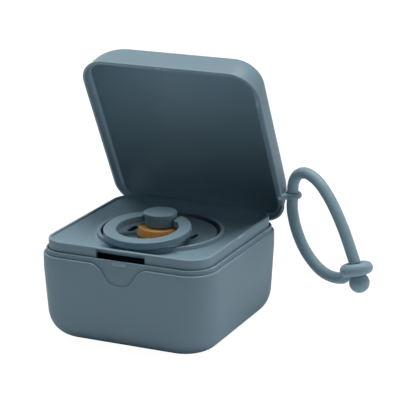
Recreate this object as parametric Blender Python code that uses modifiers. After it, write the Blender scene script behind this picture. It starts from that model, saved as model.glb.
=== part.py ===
"""Travel box for a pacifier: hinged lid, lift-out tray, seated pacifier and carrying strap.

Metres, +Z up, origin on the ground under the middle of the case. The front, with the thumb
notch, faces -Y and the hinge runs along X at the back. The lid stands part open, as it does
in the photograph, and turns on the empty lid_axis. Every piece is one named object.
"""
import math

import bmesh
import bpy
from mathutils import Matrix, Vector

# Gaps and resolution
GAP = 0.0003
OVERRUN = 0.004
WELD = 0.00001
CORNER_STEPS = 6
FILLET_STEPS = 6
TURN_STEPS = 48

# Case: the tub under the lid
CASE_HALF_WIDTH = 0.0380
CASE_HALF_DEPTH = 0.0388
CASE_TOP = 0.0358
CASE_CORNER = 0.0116
CASE_FOOT_CORNER = 0.0156
CASE_FOOT_FLAT_CORNER = 0.0045
CASE_FOOT_FILLET = 0.0126
CASE_FILLET_POWER = 2.48
CASE_DRAFT = 0.0003
CASE_WALL = 0.0019
CASE_FLOOR = 0.0022
EDGE = 0.0003

# Band: the locating rim that stands up inside the case's outer edge
BAND_INSET = 0.00106
BAND_RISE = 0.0020
BAND_WALL = CASE_WALL - BAND_INSET
LATCH_HALF_WIDTH = 0.0036
LATCH_HEIGHT = 0.0010
LATCH_PROUD = 0.00010

# Thumb notch in the case's outer skin, at the front
NOTCH_HALF_WIDTH = 0.0124
NOTCH_DEPTH = 0.0076
NOTCH_SINK = 0.00005
NOTCH_POINTS = 16
NOTCH_POWER = 0.85

# Lid, which closes round the band with some play
LID_SIDE_PLAY = 0.00056
LID_DEPTH_PLAY = 0.00016
LID_HEIGHT = 0.0232
LID_FILLET = 0.0228
LID_FILLET_POWER = 2.21
LID_CORNER = 0.0120
LID_CROWN_CORNER = 0.0139
LID_CROWN_FLAT_CORNER = 0.0065
LID_DRAFT = 0.0004
LID_WALL = 0.0014
LID_BEAD = 0.0007
LID_BEAD_HEIGHT = 0.0012
LID_OPEN_ANGLE = math.radians(62.7)

# Hinge at the back
HINGE_OUT = 0.0013
HINGE_DROP = 0.0006
KNUCKLE_RADIUS = 0.0021
KNUCKLE_HALF_SPAN = 0.0120
KNUCKLE_END = 0.0204
KNUCKLE_WEB_DROP = 0.0052
PIN_RADIUS = 0.0008
PIN_INSET = 0.0004

# Eyelet for the strap, a flat loop leaning back on the lid's right side
EYELET_Y = 0.0271
EYELET_RISE = 0.0048
EYELET_CLEARANCE = 0.0009
EYELET_LEAN = math.radians(25.0)
EYELET_PLAY = 0.0004
EYELET_WALL = 0.0010
EYELET_THICKNESS = 0.0024
EYELET_ROUND = 0.0005
EYELET_FLARE = 0.0011
EYELET_STEPS = 12

# Insert tray
TRAY_RISE = 0.0061
TRAY_HEIGHT = 0.0116
TRAY_WALL = 0.0014
TRAY_RIM_WIDTH = 0.0012
TRAY_RIM_RISE = 0.0008
TRAY_DISH = 0.0024
TRAY_DISH_MARGIN = 0.0020
TRAY_DISH_FLAT = 0.0040
TRAY_PLATE = 0.0015
TRAY_ROUND = 0.0006
TRAY_SLOT_HALF_WIDTH = 0.0108
TRAY_SLOT_REACH = 0.0022
TRAY_SLOT_LIP = 0.0003
TRAY_SLOT_SLOPE = 0.0013
TRAY_SLOT_DROP = 0.0002

# Round well in the tray
WELL_PLAY = 0.0012
WELL_WALL = 0.0014
WELL_LIP_RISE = 0.0018
WELL_DEPTH = 0.0068
WELL_FLOOR = 0.0013
REST_INSET = 0.0034
REST_WIDTH = 0.0011

# Pacifier: shield, teat, plug and ring handle
SHIELD_RADIUS = 0.0234
SHIELD_SINK = 0.0009
SHIELD_DISH = 0.0022
SHIELD_THICKNESS = 0.0020
SHIELD_HOLE_PLAY = 0.0004
VENT_PLACE = 0.0138
VENT_SET_BACK = 0.0020
VENT_HALF_LENGTH = 0.0036
VENT_HALF_WIDTH = 0.0012
FLANGE_RADIUS = 0.0099
FLANGE_BULGE = 0.0004
FLANGE_RISE = 0.0046
FLANGE_TAPER = 0.0009
FLANGE_ROUND = 0.0005
TEAT_NECK_RADIUS = 0.0058
TEAT_BULB_RADIUS = 0.0086
TEAT_LENGTH = 0.0290
TEAT_WALL = 0.0016
KNOB_HEIGHT = 0.0058
KNOB_TOP_RADIUS = 0.0069
KNOB_FOOT_RADIUS = 0.0062
KNOB_ROUND = 0.0009
PLUG_DEPTH = 0.0070
RING_OUTER = 0.01775
RING_INNER = 0.0126
RING_PIVOT_RISE = 0.0024
RING_REST_TILT = math.radians(4.2)
RING_PLAY = 0.0004
RING_THICKNESS = 0.0029
RING_ROUND = 0.0007
RING_END_GAP = 0.00033
RING_END_SPREAD = 0.0011
RING_STEPS = 30
TRUNNION_RADIUS = 0.0009
TRUNNION_TIP = 0.0045

# Strap: a cord with a ring moulded on one end and a ball on the other
CORD_RADIUS = 0.0024
CORD_STEP = 0.0046
STRAP_ANGLE = math.radians(-25.0)
CLASP_PLACE = (0.03806, 0.02658)
CLASP_TILT = math.radians(18.5)
NECK_TILT = math.radians(22.0)
CLASP_PLAY = 0.0004
CLASP_TUBE_RADIUS = 0.0021
CLASP_BALL_RADIUS = 0.0042
CLASP_BALL_DROP = 0.0057
CLASP_NECK_RADIUS = 0.0020
CLASP_NECK = 0.0036
CLASP_NECK_FLARE = 0.0010

# Strap routes: distance out from the eyelet and height above the ground
UPPER_ROUTE = [
    (0.00000, 0.04955), (0.00000, 0.05150), (0.00015, 0.05340), (0.00075, 0.05560),
    (0.00236, 0.05814), (0.00460, 0.05965), (0.00690, 0.06035), (0.00952, 0.06031),
    (0.01315, 0.05926), (0.01645, 0.05744), (0.01939, 0.05509), (0.02271, 0.05181),
    (0.02578, 0.04807), (0.02875, 0.04386), (0.03109, 0.04014), (0.03341, 0.03600),
    (0.03500, 0.03292),
]
LOWER_ROUTE = [
    (0.00000, 0.04925), (-0.00015, 0.04730), (-0.00025, 0.04500), (0.00003, 0.04185),
    (0.00155, 0.03692), (0.00371, 0.03262), (0.00661, 0.02849), (0.01016, 0.02502),
    (0.01413, 0.02228), (0.01812, 0.02048), (0.02212, 0.01970), (0.02616, 0.01974),
    (0.02860, 0.02020),
]
STEM_ROUTE = [
    (0.02890, 0.02027), (0.03010, 0.02055), (0.03130, 0.02130), (0.03250, 0.02260),
    (0.03335, 0.02385), (0.03385, 0.02520),
]

# Colours, linear: case blue-grey, tray, rubber, and the shaded tones of small parts
BLUE_GREY = (0.165, 0.225, 0.265)
TRAY_GREY = (0.175, 0.235, 0.275)
SHIELD_GREY = (0.150, 0.205, 0.245)
STRAP_GREY = (0.170, 0.230, 0.270)
AMBER = (0.520, 0.220, 0.060)

# Values worked out from the sizes above
CASE_INNER_HALF_WIDTH = CASE_HALF_WIDTH - CASE_WALL
CASE_INNER_HALF_DEPTH = CASE_HALF_DEPTH - CASE_WALL
HINGE_Y = CASE_HALF_DEPTH + HINGE_OUT
HINGE_Z = CASE_TOP - HINGE_DROP
LID_HALF_WIDTH = CASE_HALF_WIDTH - BAND_INSET + LID_SIDE_PLAY + LID_WALL
LID_HALF_DEPTH = CASE_HALF_DEPTH - BAND_INSET + LID_DEPTH_PLAY + LID_WALL
TRAY_RIM_TOP = CASE_TOP + TRAY_RISE
TRAY_SKIRT_BOTTOM = TRAY_RIM_TOP - TRAY_HEIGHT
TRAY_PLATE_TOP = TRAY_RIM_TOP - TRAY_RIM_RISE
TRAY_DISH_FLOOR = TRAY_PLATE_TOP - TRAY_DISH
TRAY_HALF_WIDTH = CASE_INNER_HALF_WIDTH - GAP
TRAY_HALF_DEPTH = CASE_INNER_HALF_DEPTH - GAP
TRAY_CORNER = CASE_CORNER - CASE_WALL - GAP
LEDGE_TOP = TRAY_SKIRT_BOTTOM - GAP
LEDGE_WIDTH = TRAY_WALL
LID_MOUTH = CASE_TOP + GAP
WELL_RADIUS = SHIELD_RADIUS + WELL_PLAY
WELL_LIP_TOP = TRAY_DISH_FLOOR + WELL_LIP_RISE
WELL_FLOOR_BOTTOM = WELL_LIP_TOP - WELL_DEPTH
TRAY_DISH_HALF = WELL_RADIUS + WELL_WALL + TRAY_DISH_MARGIN
TRAY_DISH_CORNER = TRAY_DISH_HALF - TRAY_DISH_FLAT
REST_RADIUS = SHIELD_RADIUS - REST_INSET
SHIELD_HOLE = TEAT_NECK_RADIUS + SHIELD_HOLE_PLAY
SHIELD_EDGE_TOP = WELL_LIP_TOP - SHIELD_SINK
SHIELD_CENTRE_TOP = SHIELD_EDGE_TOP - SHIELD_DISH
FLANGE_TOP = SHIELD_CENTRE_TOP + FLANGE_RISE
FLANGE_TOP_RADIUS = FLANGE_RADIUS - FLANGE_TAPER
FLANGE_BOTTOM = SHIELD_CENTRE_TOP + SHIELD_DISH * (FLANGE_RADIUS / SHIELD_RADIUS) ** 2 + GAP
KNOB_BOTTOM = FLANGE_TOP + GAP
KNOB_TOP = KNOB_BOTTOM + KNOB_HEIGHT
RING_PIVOT_Z = KNOB_BOTTOM + RING_PIVOT_RISE
RING_END_INNER = KNOB_TOP_RADIUS + RING_END_GAP
RING_END_OUTER = RING_END_INNER + RING_END_SPREAD
RING_END_INNER_ANGLE = math.asin(RING_END_INNER / RING_INNER)
RING_END_OUTER_ANGLE = math.asin(RING_END_OUTER / RING_OUTER)
RING_SET_BACK = (RING_INNER * math.cos(RING_END_INNER_ANGLE)
                 + RING_OUTER * math.cos(RING_END_OUTER_ANGLE)) / 2
CLASP_RING_RADIUS = CLASP_NECK_RADIUS + CLASP_PLAY + CLASP_TUBE_RADIUS
PLUG_RADIUS = TEAT_NECK_RADIUS - TEAT_WALL - GAP
EYELET_HOLE = CORD_RADIUS + EYELET_PLAY
EYELET_RADIUS = EYELET_HOLE + EYELET_WALL
EYELET_X = LID_HALF_WIDTH + CORD_RADIUS + EYELET_CLEARANCE
EYELET_Z = LID_MOUTH + EYELET_RISE


def start_scene():
    """Empty the scene and add the two collections, for the pieces and for the cutters."""
    for obj in list(bpy.data.objects):
        bpy.data.objects.remove(obj, do_unlink=True)
    pieces = bpy.data.collections.new("pacifier_box")
    tools = bpy.data.collections.new("cutters")
    bpy.context.scene.collection.children.link(pieces)
    bpy.context.scene.collection.children.link(tools)
    return pieces, tools


PIECES, TOOLS = start_scene()


def plastic(name, colour, roughness):
    """A Principled material of one colour for one piece."""
    material = bpy.data.materials.new(name)
    material.use_nodes = True
    shader = material.node_tree.nodes["Principled BSDF"]
    shader.inputs["Base Color"].default_value = (*colour, 1.0)
    shader.inputs["Roughness"].default_value = roughness
    shader.inputs["Metallic"].default_value = 0.0
    return material


def add_mesh(name, bm, collection):
    """Turn a bmesh into an object with outward faces in the given collection."""
    bmesh.ops.recalc_face_normals(bm, faces=bm.faces)
    mesh = bpy.data.meshes.new(name)
    bm.to_mesh(mesh)
    bm.free()
    obj = bpy.data.objects.new(name, mesh)
    collection.objects.link(obj)
    return obj


def finish_piece(obj, material, parent=None):
    """Shade a piece smooth, give it its material and hang it on its axis."""
    obj.data.shade_smooth()
    obj.data.set_sharp_from_angle(angle=math.radians(35.0))
    obj.data.materials.clear()
    obj.data.materials.append(material)
    if parent is not None:
        obj.parent = parent
    return obj


def as_tool(obj, parent=None):
    """Mark an object as a cutter or a joined-on body, which is not a piece itself."""
    obj.hide_render = True
    obj.display_type = "WIRE"
    if parent is not None:
        obj.parent = parent
    return obj


def combine(target, tool, operation):
    """Cut the tool from the target, or join it on."""
    modifier = target.modifiers.new(tool.name, "BOOLEAN")
    modifier.operation = operation
    modifier.solver = "EXACT"
    modifier.object = tool


def axis_empty(name, place, turn_x=0.0):
    """An empty on a joint's axis, turned about X."""
    empty = bpy.data.objects.new(name, None)
    empty.location = place
    empty.rotation_euler = (turn_x, 0.0, 0.0)
    PIECES.objects.link(empty)
    return empty


def plan_ring(half_width, half_depth, radius, height):
    """A rounded-rectangle section: four corner arcs at one height."""
    points = []
    for corner in range(4):
        sign_x = 1 if corner in (0, 3) else -1
        sign_y = 1 if corner in (0, 1) else -1
        for step in range(CORNER_STEPS + 1):
            angle = (corner + step / CORNER_STEPS) * math.pi / 2
            points.append(Vector((
                sign_x * (half_width - radius) + radius * math.cos(angle),
                sign_y * (half_depth - radius) + radius * math.sin(angle),
                height)))
    return points


def loft(name, rings, collection, origin=(0.0, 0.0, 0.0)):
    """A closed solid through a stack of sections, capped at its first and last one."""
    bm = bmesh.new()
    offset = Vector(origin)
    loops = [[bm.verts.new(point - offset) for point in ring] for ring in rings]
    count = len(loops[0])
    for low, high in zip(loops, loops[1:]):
        for i in range(count):
            j = (i + 1) % count
            bm.faces.new((low[i], low[j], high[j], high[i]))
    bm.faces.new(list(reversed(loops[0])))
    bm.faces.new(loops[-1])
    return add_mesh(name, bm, collection)


def bowl_sections(half_width, half_depth, height, fillet, power, draft, corners, base, up):
    """Sections of a tub from its flat end to its mouth.

    corners gives the plan radius at the mouth, at the far end and at the flat. up is 1 for a
    tub that opens upwards from base, and -1 for a lid that opens downwards.
    """
    mouth, far, flat = corners
    rings = []
    for step in range(FILLET_STEPS + 1):
        angle = math.pi / 2 * (1 - step / FILLET_STEPS)
        inset = fillet * (1 - max(math.cos(angle), 0.0) ** (2 / power))
        drop = height - fillet * (1 - math.sin(angle) ** (2 / power))
        share = inset / fillet
        radius = mouth + (far - mouth) * drop / height
        radius += (flat - radius) * share
        total = inset + draft * drop / height
        rings.append(plan_ring(
            half_width - total, half_depth - total, radius, base + up * (height - drop)))
    rings.append(plan_ring(half_width, half_depth, mouth, base + up * height))
    return rings


def turned(name, profile, collection, steps=TURN_STEPS, place=(0.0, 0.0, 0.0)):
    """A turned solid: a closed profile of radius and height, spun by a Screw modifier.

    The profile runs down its outer side. A point on the axis closes the solid there.
    """
    mesh = bpy.data.meshes.new(name)
    points = [(radius, 0.0, height - place[2]) for radius, height in profile]
    edges = [(i, i + 1) for i in range(len(points) - 1)]
    if profile[0][0] > 0 or profile[-1][0] > 0:
        edges.append((len(points) - 1, 0))
    mesh.from_pydata(points, edges, [])
    obj = bpy.data.objects.new(name, mesh)
    obj.location = place
    collection.objects.link(obj)
    screw = obj.modifiers.new("turn", "SCREW")
    screw.steps = steps
    screw.render_steps = steps
    screw.use_merge_vertices = True
    screw.merge_threshold = WELD
    screw.use_normal_calculate = True
    bpy.context.view_layer.update()
    evaluated = obj.evaluated_get(bpy.context.evaluated_depsgraph_get())
    solid = bpy.data.meshes.new_from_object(evaluated)
    obj.modifiers.clear()
    obj.data = solid
    bm = bmesh.new()
    bm.from_mesh(solid)
    bmesh.ops.remove_doubles(bm, verts=bm.verts, dist=WELD)
    bmesh.ops.recalc_face_normals(bm, faces=bm.faces)
    bm.to_mesh(solid)
    bm.free()
    return obj


def rod(name, radius, start, end, steps, collection, origin=(0.0, 0.0, 0.0)):
    """A round bar between two points."""
    bm = bmesh.new()
    a, b = Vector(start), Vector(end)
    middle = (a + b) / 2 - Vector(origin)
    turn = (b - a).to_track_quat("Z", "Y").to_matrix().to_4x4()
    bmesh.ops.create_cone(
        bm, cap_ends=True, segments=steps, radius1=radius, radius2=radius,
        depth=(b - a).length, matrix=Matrix.Translation(middle) @ turn)
    return add_mesh(name, bm, collection)


def block(name, low, high, collection, origin=(0.0, 0.0, 0.0)):
    """A box between two corners."""
    bm = bmesh.new()
    a, b = Vector(low), Vector(high)
    size = Matrix.Diagonal((*(b - a), 1.0))
    bmesh.ops.create_cube(
        bm, size=1.0, matrix=Matrix.Translation((a + b) / 2 - Vector(origin)) @ size)
    return add_mesh(name, bm, collection)


def outline_solid(name, outline, half_thickness, frame, collection, bevel=0.0):
    """A flat outline, extruded both ways, as a closed mesh.

    frame places the outline's plane: its X and Y are the outline's, its Z the thickness.
    """
    curve = bpy.data.curves.new(name, "CURVE")
    curve.dimensions = "2D"
    curve.fill_mode = "BOTH"
    curve.extrude = half_thickness - bevel
    curve.bevel_depth = bevel
    curve.bevel_resolution = 1
    curve.offset = -bevel
    spline = curve.splines.new("POLY")
    spline.points.add(len(outline) - 1)
    for point, (x, y) in zip(spline.points, outline):
        point.co = (x, y, 0.0, 1.0)
    spline.use_cyclic_u = True
    return curve_to_mesh(name, curve, frame, collection)


def tube(name, route, radius, collection, origin=(0.0, 0.0, 0.0), resolution=2):
    """A round tube along a route, with filled caps, as a closed mesh."""
    curve = bpy.data.curves.new(name, "CURVE")
    curve.dimensions = "3D"
    curve.bevel_depth = radius
    curve.bevel_resolution = resolution
    curve.use_fill_caps = True
    spline = curve.splines.new("POLY")
    spline.points.add(len(route) - 1)
    for point, place in zip(spline.points, route):
        point.co = (*(Vector(place) - Vector(origin)), 1.0)
    return curve_to_mesh(name, curve, Matrix.Identity(4), collection)


def curve_to_mesh(name, curve, frame, collection):
    """Replace a curve by its mesh, with the caps welded and the frame applied."""
    guide = bpy.data.objects.new(name + "_curve", curve)
    collection.objects.link(guide)
    bpy.context.view_layer.update()
    evaluated = guide.evaluated_get(bpy.context.evaluated_depsgraph_get())
    mesh = bpy.data.meshes.new_from_object(evaluated)
    bpy.data.objects.remove(guide, do_unlink=True)
    bm = bmesh.new()
    bm.from_mesh(mesh)
    bmesh.ops.remove_doubles(bm, verts=bm.verts, dist=WELD)
    bmesh.ops.transform(bm, matrix=frame, verts=bm.verts)
    return add_mesh(name, bm, collection)


def smooth_route(points, step):
    """Points at about equal steps along a smooth curve through the given ones."""
    places = [Vector(point) for point in points]
    places = [2 * places[0] - places[1]] + places + [2 * places[-1] - places[-2]]
    fine = []
    for a, b, c, d in zip(places, places[1:], places[2:], places[3:]):
        for part in range(8):
            t = part / 8
            fine.append(0.5 * (2 * b + (c - a) * t + (2 * a - 5 * b + 4 * c - d) * t ** 2
                               + (3 * b - a - 3 * c + d) * t ** 3))
    fine.append(places[-2])
    lengths = [0.0]
    for a, b in zip(fine, fine[1:]):
        lengths.append(lengths[-1] + (b - a).length)
    count = max(2, round(lengths[-1] / step))
    route = []
    index = 0
    for number in range(count + 1):
        wanted = lengths[-1] * number / count
        while index < len(fine) - 2 and lengths[index + 1] < wanted:
            index += 1
        share = (wanted - lengths[index]) / (lengths[index + 1] - lengths[index])
        route.append(fine[index].lerp(fine[index + 1], min(share, 1.0)))
    return route


def notch_outline():
    """Front view of the thumb notch: a smooth dip in the case's outer edge."""
    points = []
    for number in range(NOTCH_POINTS + 1):
        place = -1 + 2 * number / NOTCH_POINTS
        dip = (0.5 + 0.5 * math.cos(math.pi * place)) ** NOTCH_POWER
        points.append((NOTCH_HALF_WIDTH * place, CASE_TOP - EDGE - NOTCH_DEPTH * dip))
    points.append((NOTCH_HALF_WIDTH, CASE_TOP + OVERRUN))
    points.append((-NOTCH_HALF_WIDTH, CASE_TOP + OVERRUN))
    return points


def case_shell():
    """The case: outer wall and foot, band, tray ledge, latch bump and hinge knuckle."""
    corners = (CASE_CORNER, CASE_FOOT_CORNER, CASE_FOOT_FLAT_CORNER)
    rings = bowl_sections(
        CASE_HALF_WIDTH, CASE_HALF_DEPTH, CASE_TOP - EDGE, CASE_FOOT_FILLET,
        CASE_FILLET_POWER, CASE_DRAFT, corners, 0.0, 1)
    drop = NOTCH_DEPTH + BAND_INSET
    share = drop / (CASE_TOP - EDGE)
    rings.insert(-1, plan_ring(
        CASE_HALF_WIDTH - CASE_DRAFT * share, CASE_HALF_DEPTH - CASE_DRAFT * share,
        CASE_CORNER + (CASE_FOOT_CORNER - CASE_CORNER) * share, CASE_TOP - EDGE - drop))

    def ring(inset, height):
        return plan_ring(CASE_HALF_WIDTH - inset, CASE_HALF_DEPTH - inset,
                         CASE_CORNER - inset, height)

    band_top = CASE_TOP + BAND_RISE
    rings += [
        ring(EDGE, CASE_TOP), ring(BAND_INSET, CASE_TOP),
        ring(BAND_INSET, band_top - EDGE), ring(BAND_INSET + EDGE, band_top),
        ring(CASE_WALL, band_top), ring(CASE_WALL, LEDGE_TOP),
        ring(CASE_WALL + LEDGE_WIDTH, LEDGE_TOP)]
    inner = CASE_WALL + LEDGE_WIDTH
    inner_fillet = CASE_FOOT_FILLET - CASE_WALL
    hollow = bowl_sections(
        CASE_HALF_WIDTH - inner, CASE_HALF_DEPTH - inner, LEDGE_TOP - LEDGE_WIDTH - CASE_FLOOR,
        inner_fillet, CASE_FILLET_POWER, CASE_DRAFT,
        (CASE_CORNER - inner, CASE_FOOT_CORNER - inner, CASE_FOOT_FLAT_CORNER), CASE_FLOOR, 1)
    rings += list(reversed(hollow))
    case = loft("case_shell", rings, PIECES)

    to_front = Matrix.Rotation(math.pi / 2, 4, "X")
    skin = outline_solid(
        "thumb_notch", notch_outline(), OVERRUN / 2, to_front, TOOLS)
    skin.location.y = -(CASE_HALF_DEPTH - BAND_INSET) - OVERRUN / 2 + NOTCH_SINK
    combine(case, as_tool(skin), "DIFFERENCE")

    latch_middle = CASE_TOP + BAND_RISE / 2
    latch_front = -(CASE_HALF_DEPTH - BAND_INSET) - LATCH_PROUD
    latch = block(
        "latch_bump", (-LATCH_HALF_WIDTH, latch_front, latch_middle - LATCH_HEIGHT / 2),
        (LATCH_HALF_WIDTH, latch_front + BAND_WALL, latch_middle + LATCH_HEIGHT / 2), TOOLS)
    combine(case, as_tool(latch), "UNION")

    for side in (-1, 1):
        pocket = rod(
            f"knuckle_pocket_{'left' if side < 0 else 'right'}", KNUCKLE_RADIUS + GAP,
            (side * KNUCKLE_HALF_SPAN, HINGE_Y, HINGE_Z),
            (side * (KNUCKLE_END + 2 * GAP), HINGE_Y, HINGE_Z), 24, TOOLS)
        combine(case, as_tool(pocket), "DIFFERENCE")
    combine(case, as_tool(knuckle_with_web()), "UNION")
    bore = rod("case_pin_bore", PIN_RADIUS + GAP, (-KNUCKLE_HALF_SPAN - OVERRUN, HINGE_Y, HINGE_Z),
               (KNUCKLE_HALF_SPAN + OVERRUN, HINGE_Y, HINGE_Z), 20, TOOLS)
    combine(case, as_tool(bore), "DIFFERENCE")
    return finish_piece(case, plastic("case_plastic", BLUE_GREY, 0.5))


def knuckle_with_web():
    """The case's middle knuckle, with the web that ties it to the back wall."""
    wall = CASE_HALF_DEPTH - BAND_INSET
    foot = HINGE_Z - KNUCKLE_WEB_DROP
    points = []
    for step in range(17):
        angle = math.radians(150 - 200 * step / 16)
        points.append((HINGE_Y + KNUCKLE_RADIUS * math.cos(angle),
                       HINGE_Z + KNUCKLE_RADIUS * math.sin(angle)))
    points.append((wall, foot))
    points.append((wall, HINGE_Z))
    upright = Matrix(((0, 0, 1, 0), (1, 0, 0, 0), (0, 1, 0, 0), (0, 0, 0, 1)))
    return outline_solid(
        "case_knuckle", points, KNUCKLE_HALF_SPAN - GAP, upright, TOOLS)


def lid_shell(axis):
    """The lid, in its closed place about the hinge, with bead, knuckles and eyelet."""
    hinge = (0.0, HINGE_Y, HINGE_Z)
    corners = (LID_CORNER, LID_CROWN_CORNER, LID_CROWN_FLAT_CORNER)
    crown = LID_MOUTH + LID_HEIGHT
    outer = bowl_sections(
        LID_HALF_WIDTH, LID_HALF_DEPTH, LID_HEIGHT - LID_BEAD_HEIGHT, LID_FILLET - LID_BEAD_HEIGHT,
        LID_FILLET_POWER, LID_DRAFT, corners, crown, -1)

    def ring(inset, height):
        return plan_ring(LID_HALF_WIDTH - inset, LID_HALF_DEPTH - inset,
                         LID_CORNER - inset, height)

    outer += [
        ring(-LID_BEAD, LID_MOUTH + LID_BEAD_HEIGHT - LID_BEAD / 2),
        ring(-LID_BEAD, LID_MOUTH + EDGE), ring(EDGE - LID_BEAD, LID_MOUTH),
        ring(LID_WALL - EDGE, LID_MOUTH)]
    inner = bowl_sections(
        LID_HALF_WIDTH - LID_WALL, LID_HALF_DEPTH - LID_WALL, LID_HEIGHT - LID_WALL - EDGE,
        LID_FILLET - LID_WALL - EDGE, LID_FILLET_POWER, LID_DRAFT,
        (LID_CORNER - LID_WALL, LID_CROWN_CORNER - LID_WALL, LID_CROWN_FLAT_CORNER),
        crown - LID_WALL, -1)
    lid = loft("lid_shell", outer + list(reversed(inner)), PIECES, origin=hinge)

    relief = rod(
        "knuckle_relief", KNUCKLE_RADIUS + GAP, (-KNUCKLE_HALF_SPAN, HINGE_Y, HINGE_Z),
        (KNUCKLE_HALF_SPAN, HINGE_Y, HINGE_Z), 24, TOOLS, origin=hinge)
    combine(lid, as_tool(relief, axis), "DIFFERENCE")
    for side in (-1, 1):
        knuckle = rod(
            f"lid_knuckle_{'left' if side < 0 else 'right'}", KNUCKLE_RADIUS,
            (side * (KNUCKLE_HALF_SPAN + GAP), HINGE_Y, HINGE_Z),
            (side * KNUCKLE_END, HINGE_Y, HINGE_Z), 24, TOOLS, origin=hinge)
        combine(lid, as_tool(knuckle, axis), "UNION")
    loop, hole = eyelet_loop(hinge)
    combine(lid, as_tool(loop, axis), "UNION")
    combine(lid, as_tool(hole, axis), "DIFFERENCE")
    bore = rod("lid_pin_bore", PIN_RADIUS + GAP, (-KNUCKLE_END - OVERRUN, HINGE_Y, HINGE_Z),
               (KNUCKLE_END + OVERRUN, HINGE_Y, HINGE_Z), 20, TOOLS, origin=hinge)
    combine(lid, as_tool(bore, axis), "DIFFERENCE")
    return finish_piece(lid, plastic("lid_plastic", BLUE_GREY, 0.5), axis)


def eyelet_loop(hinge):
    """The eyelet's flared loop and the hole through it, in the lid's closed place."""
    root = LID_HALF_WIDTH - LID_WALL * 0.75
    foot = EYELET_RADIUS + EYELET_FLARE
    outline = [(root - EYELET_X, -foot), (LID_HALF_WIDTH - EYELET_X, -foot)]
    for step in range(EYELET_STEPS + 1):
        angle = math.pi * (step / EYELET_STEPS - 0.5)
        outline.append((EYELET_RADIUS * math.cos(angle), EYELET_RADIUS * math.sin(angle)))
    outline += [(LID_HALF_WIDTH - EYELET_X, foot), (root - EYELET_X, foot)]
    lean = Matrix.Rotation(math.pi / 2 - EYELET_LEAN, 4, "X")
    frame = Matrix.Translation(Vector((EYELET_X, EYELET_Y, EYELET_Z)) - Vector(hinge)) @ lean
    loop = outline_solid("eyelet", outline, EYELET_THICKNESS / 2, frame, TOOLS,
                         bevel=EYELET_ROUND)
    way = (lean @ Vector((0.0, 0.0, EYELET_THICKNESS))).to_3d()
    middle = Vector((EYELET_X, EYELET_Y, EYELET_Z))
    hole = rod("eyelet_hole", EYELET_HOLE, middle - way, middle + way, 28, TOOLS, origin=hinge)
    return loop, hole


def hinge_pin():
    """The plastic pin through the knuckles."""
    reach = KNUCKLE_END - PIN_INSET
    pin = rod("hinge_pin", PIN_RADIUS, (-reach, HINGE_Y, HINGE_Z), (reach, HINGE_Y, HINGE_Z),
              16, PIECES)
    return finish_piece(pin, plastic("pin_plastic", BLUE_GREY, 0.45))


def insert_tray():
    """The lift-out tray: skirt, low rim, dished plate, round well and front finger slot."""
    def ring(inset, height):
        return plan_ring(TRAY_HALF_WIDTH - inset, TRAY_HALF_DEPTH - inset,
                         TRAY_CORNER - inset * 0.8, height)

    plate_top = TRAY_PLATE_TOP
    plate_bottom = TRAY_DISH_FLOOR - TRAY_PLATE
    dish = plan_ring(TRAY_DISH_HALF, TRAY_DISH_HALF, TRAY_DISH_CORNER, TRAY_DISH_FLOOR)
    under = plan_ring(TRAY_DISH_HALF, TRAY_DISH_HALF, TRAY_DISH_CORNER, plate_bottom)
    rings = [
        under, ring(TRAY_WALL, plate_top - TRAY_PLATE), ring(TRAY_WALL, TRAY_SKIRT_BOTTOM),
        ring(0.0, TRAY_SKIRT_BOTTOM), ring(0.0, TRAY_RIM_TOP - TRAY_ROUND),
        ring(TRAY_ROUND * 0.3, TRAY_RIM_TOP - TRAY_ROUND * 0.3),
        ring(TRAY_ROUND, TRAY_RIM_TOP), ring(TRAY_RIM_WIDTH, TRAY_RIM_TOP),
        ring(TRAY_RIM_WIDTH + TRAY_ROUND, plate_top), dish]
    tray = loft("insert_tray", rings, PIECES)

    hole = rod("well_hole", WELL_RADIUS + WELL_WALL / 2, (0, 0, plate_bottom - OVERRUN),
               (0, 0, TRAY_RIM_TOP + OVERRUN), TURN_STEPS, TOOLS)
    combine(tray, as_tool(hole), "DIFFERENCE")
    combine(tray, as_tool(turned("well_cup", well_profile(TRAY_DISH_FLOOR), TOOLS)), "UNION")

    front = -TRAY_HALF_DEPTH
    back = front + TRAY_SLOT_REACH
    wall = front + TRAY_WALL
    top = TRAY_RIM_TOP - TRAY_SLOT_LIP
    slot = [
        (front - OVERRUN, TRAY_SKIRT_BOTTOM - OVERRUN), (front - OVERRUN, top),
        (front, top), (wall, top - TRAY_SLOT_SLOPE),
        (back, top - TRAY_SLOT_SLOPE - TRAY_SLOT_DROP),
        (back, TRAY_SKIRT_BOTTOM - OVERRUN)]
    upright = Matrix(((0, 0, 1, 0), (1, 0, 0, 0), (0, 1, 0, 0), (0, 0, 0, 1)))
    cutter = outline_solid("finger_slot", slot, TRAY_SLOT_HALF_WIDTH, upright, TOOLS)
    combine(tray, as_tool(cutter), "DIFFERENCE")
    return finish_piece(tray, plastic("tray_plastic", TRAY_GREY, 0.5))


def shield_height(radius):
    """Height of the shield's upper face: a shallow dish that rises to its edge."""
    return SHIELD_CENTRE_TOP + SHIELD_DISH * (radius / SHIELD_RADIUS) ** 2


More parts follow.
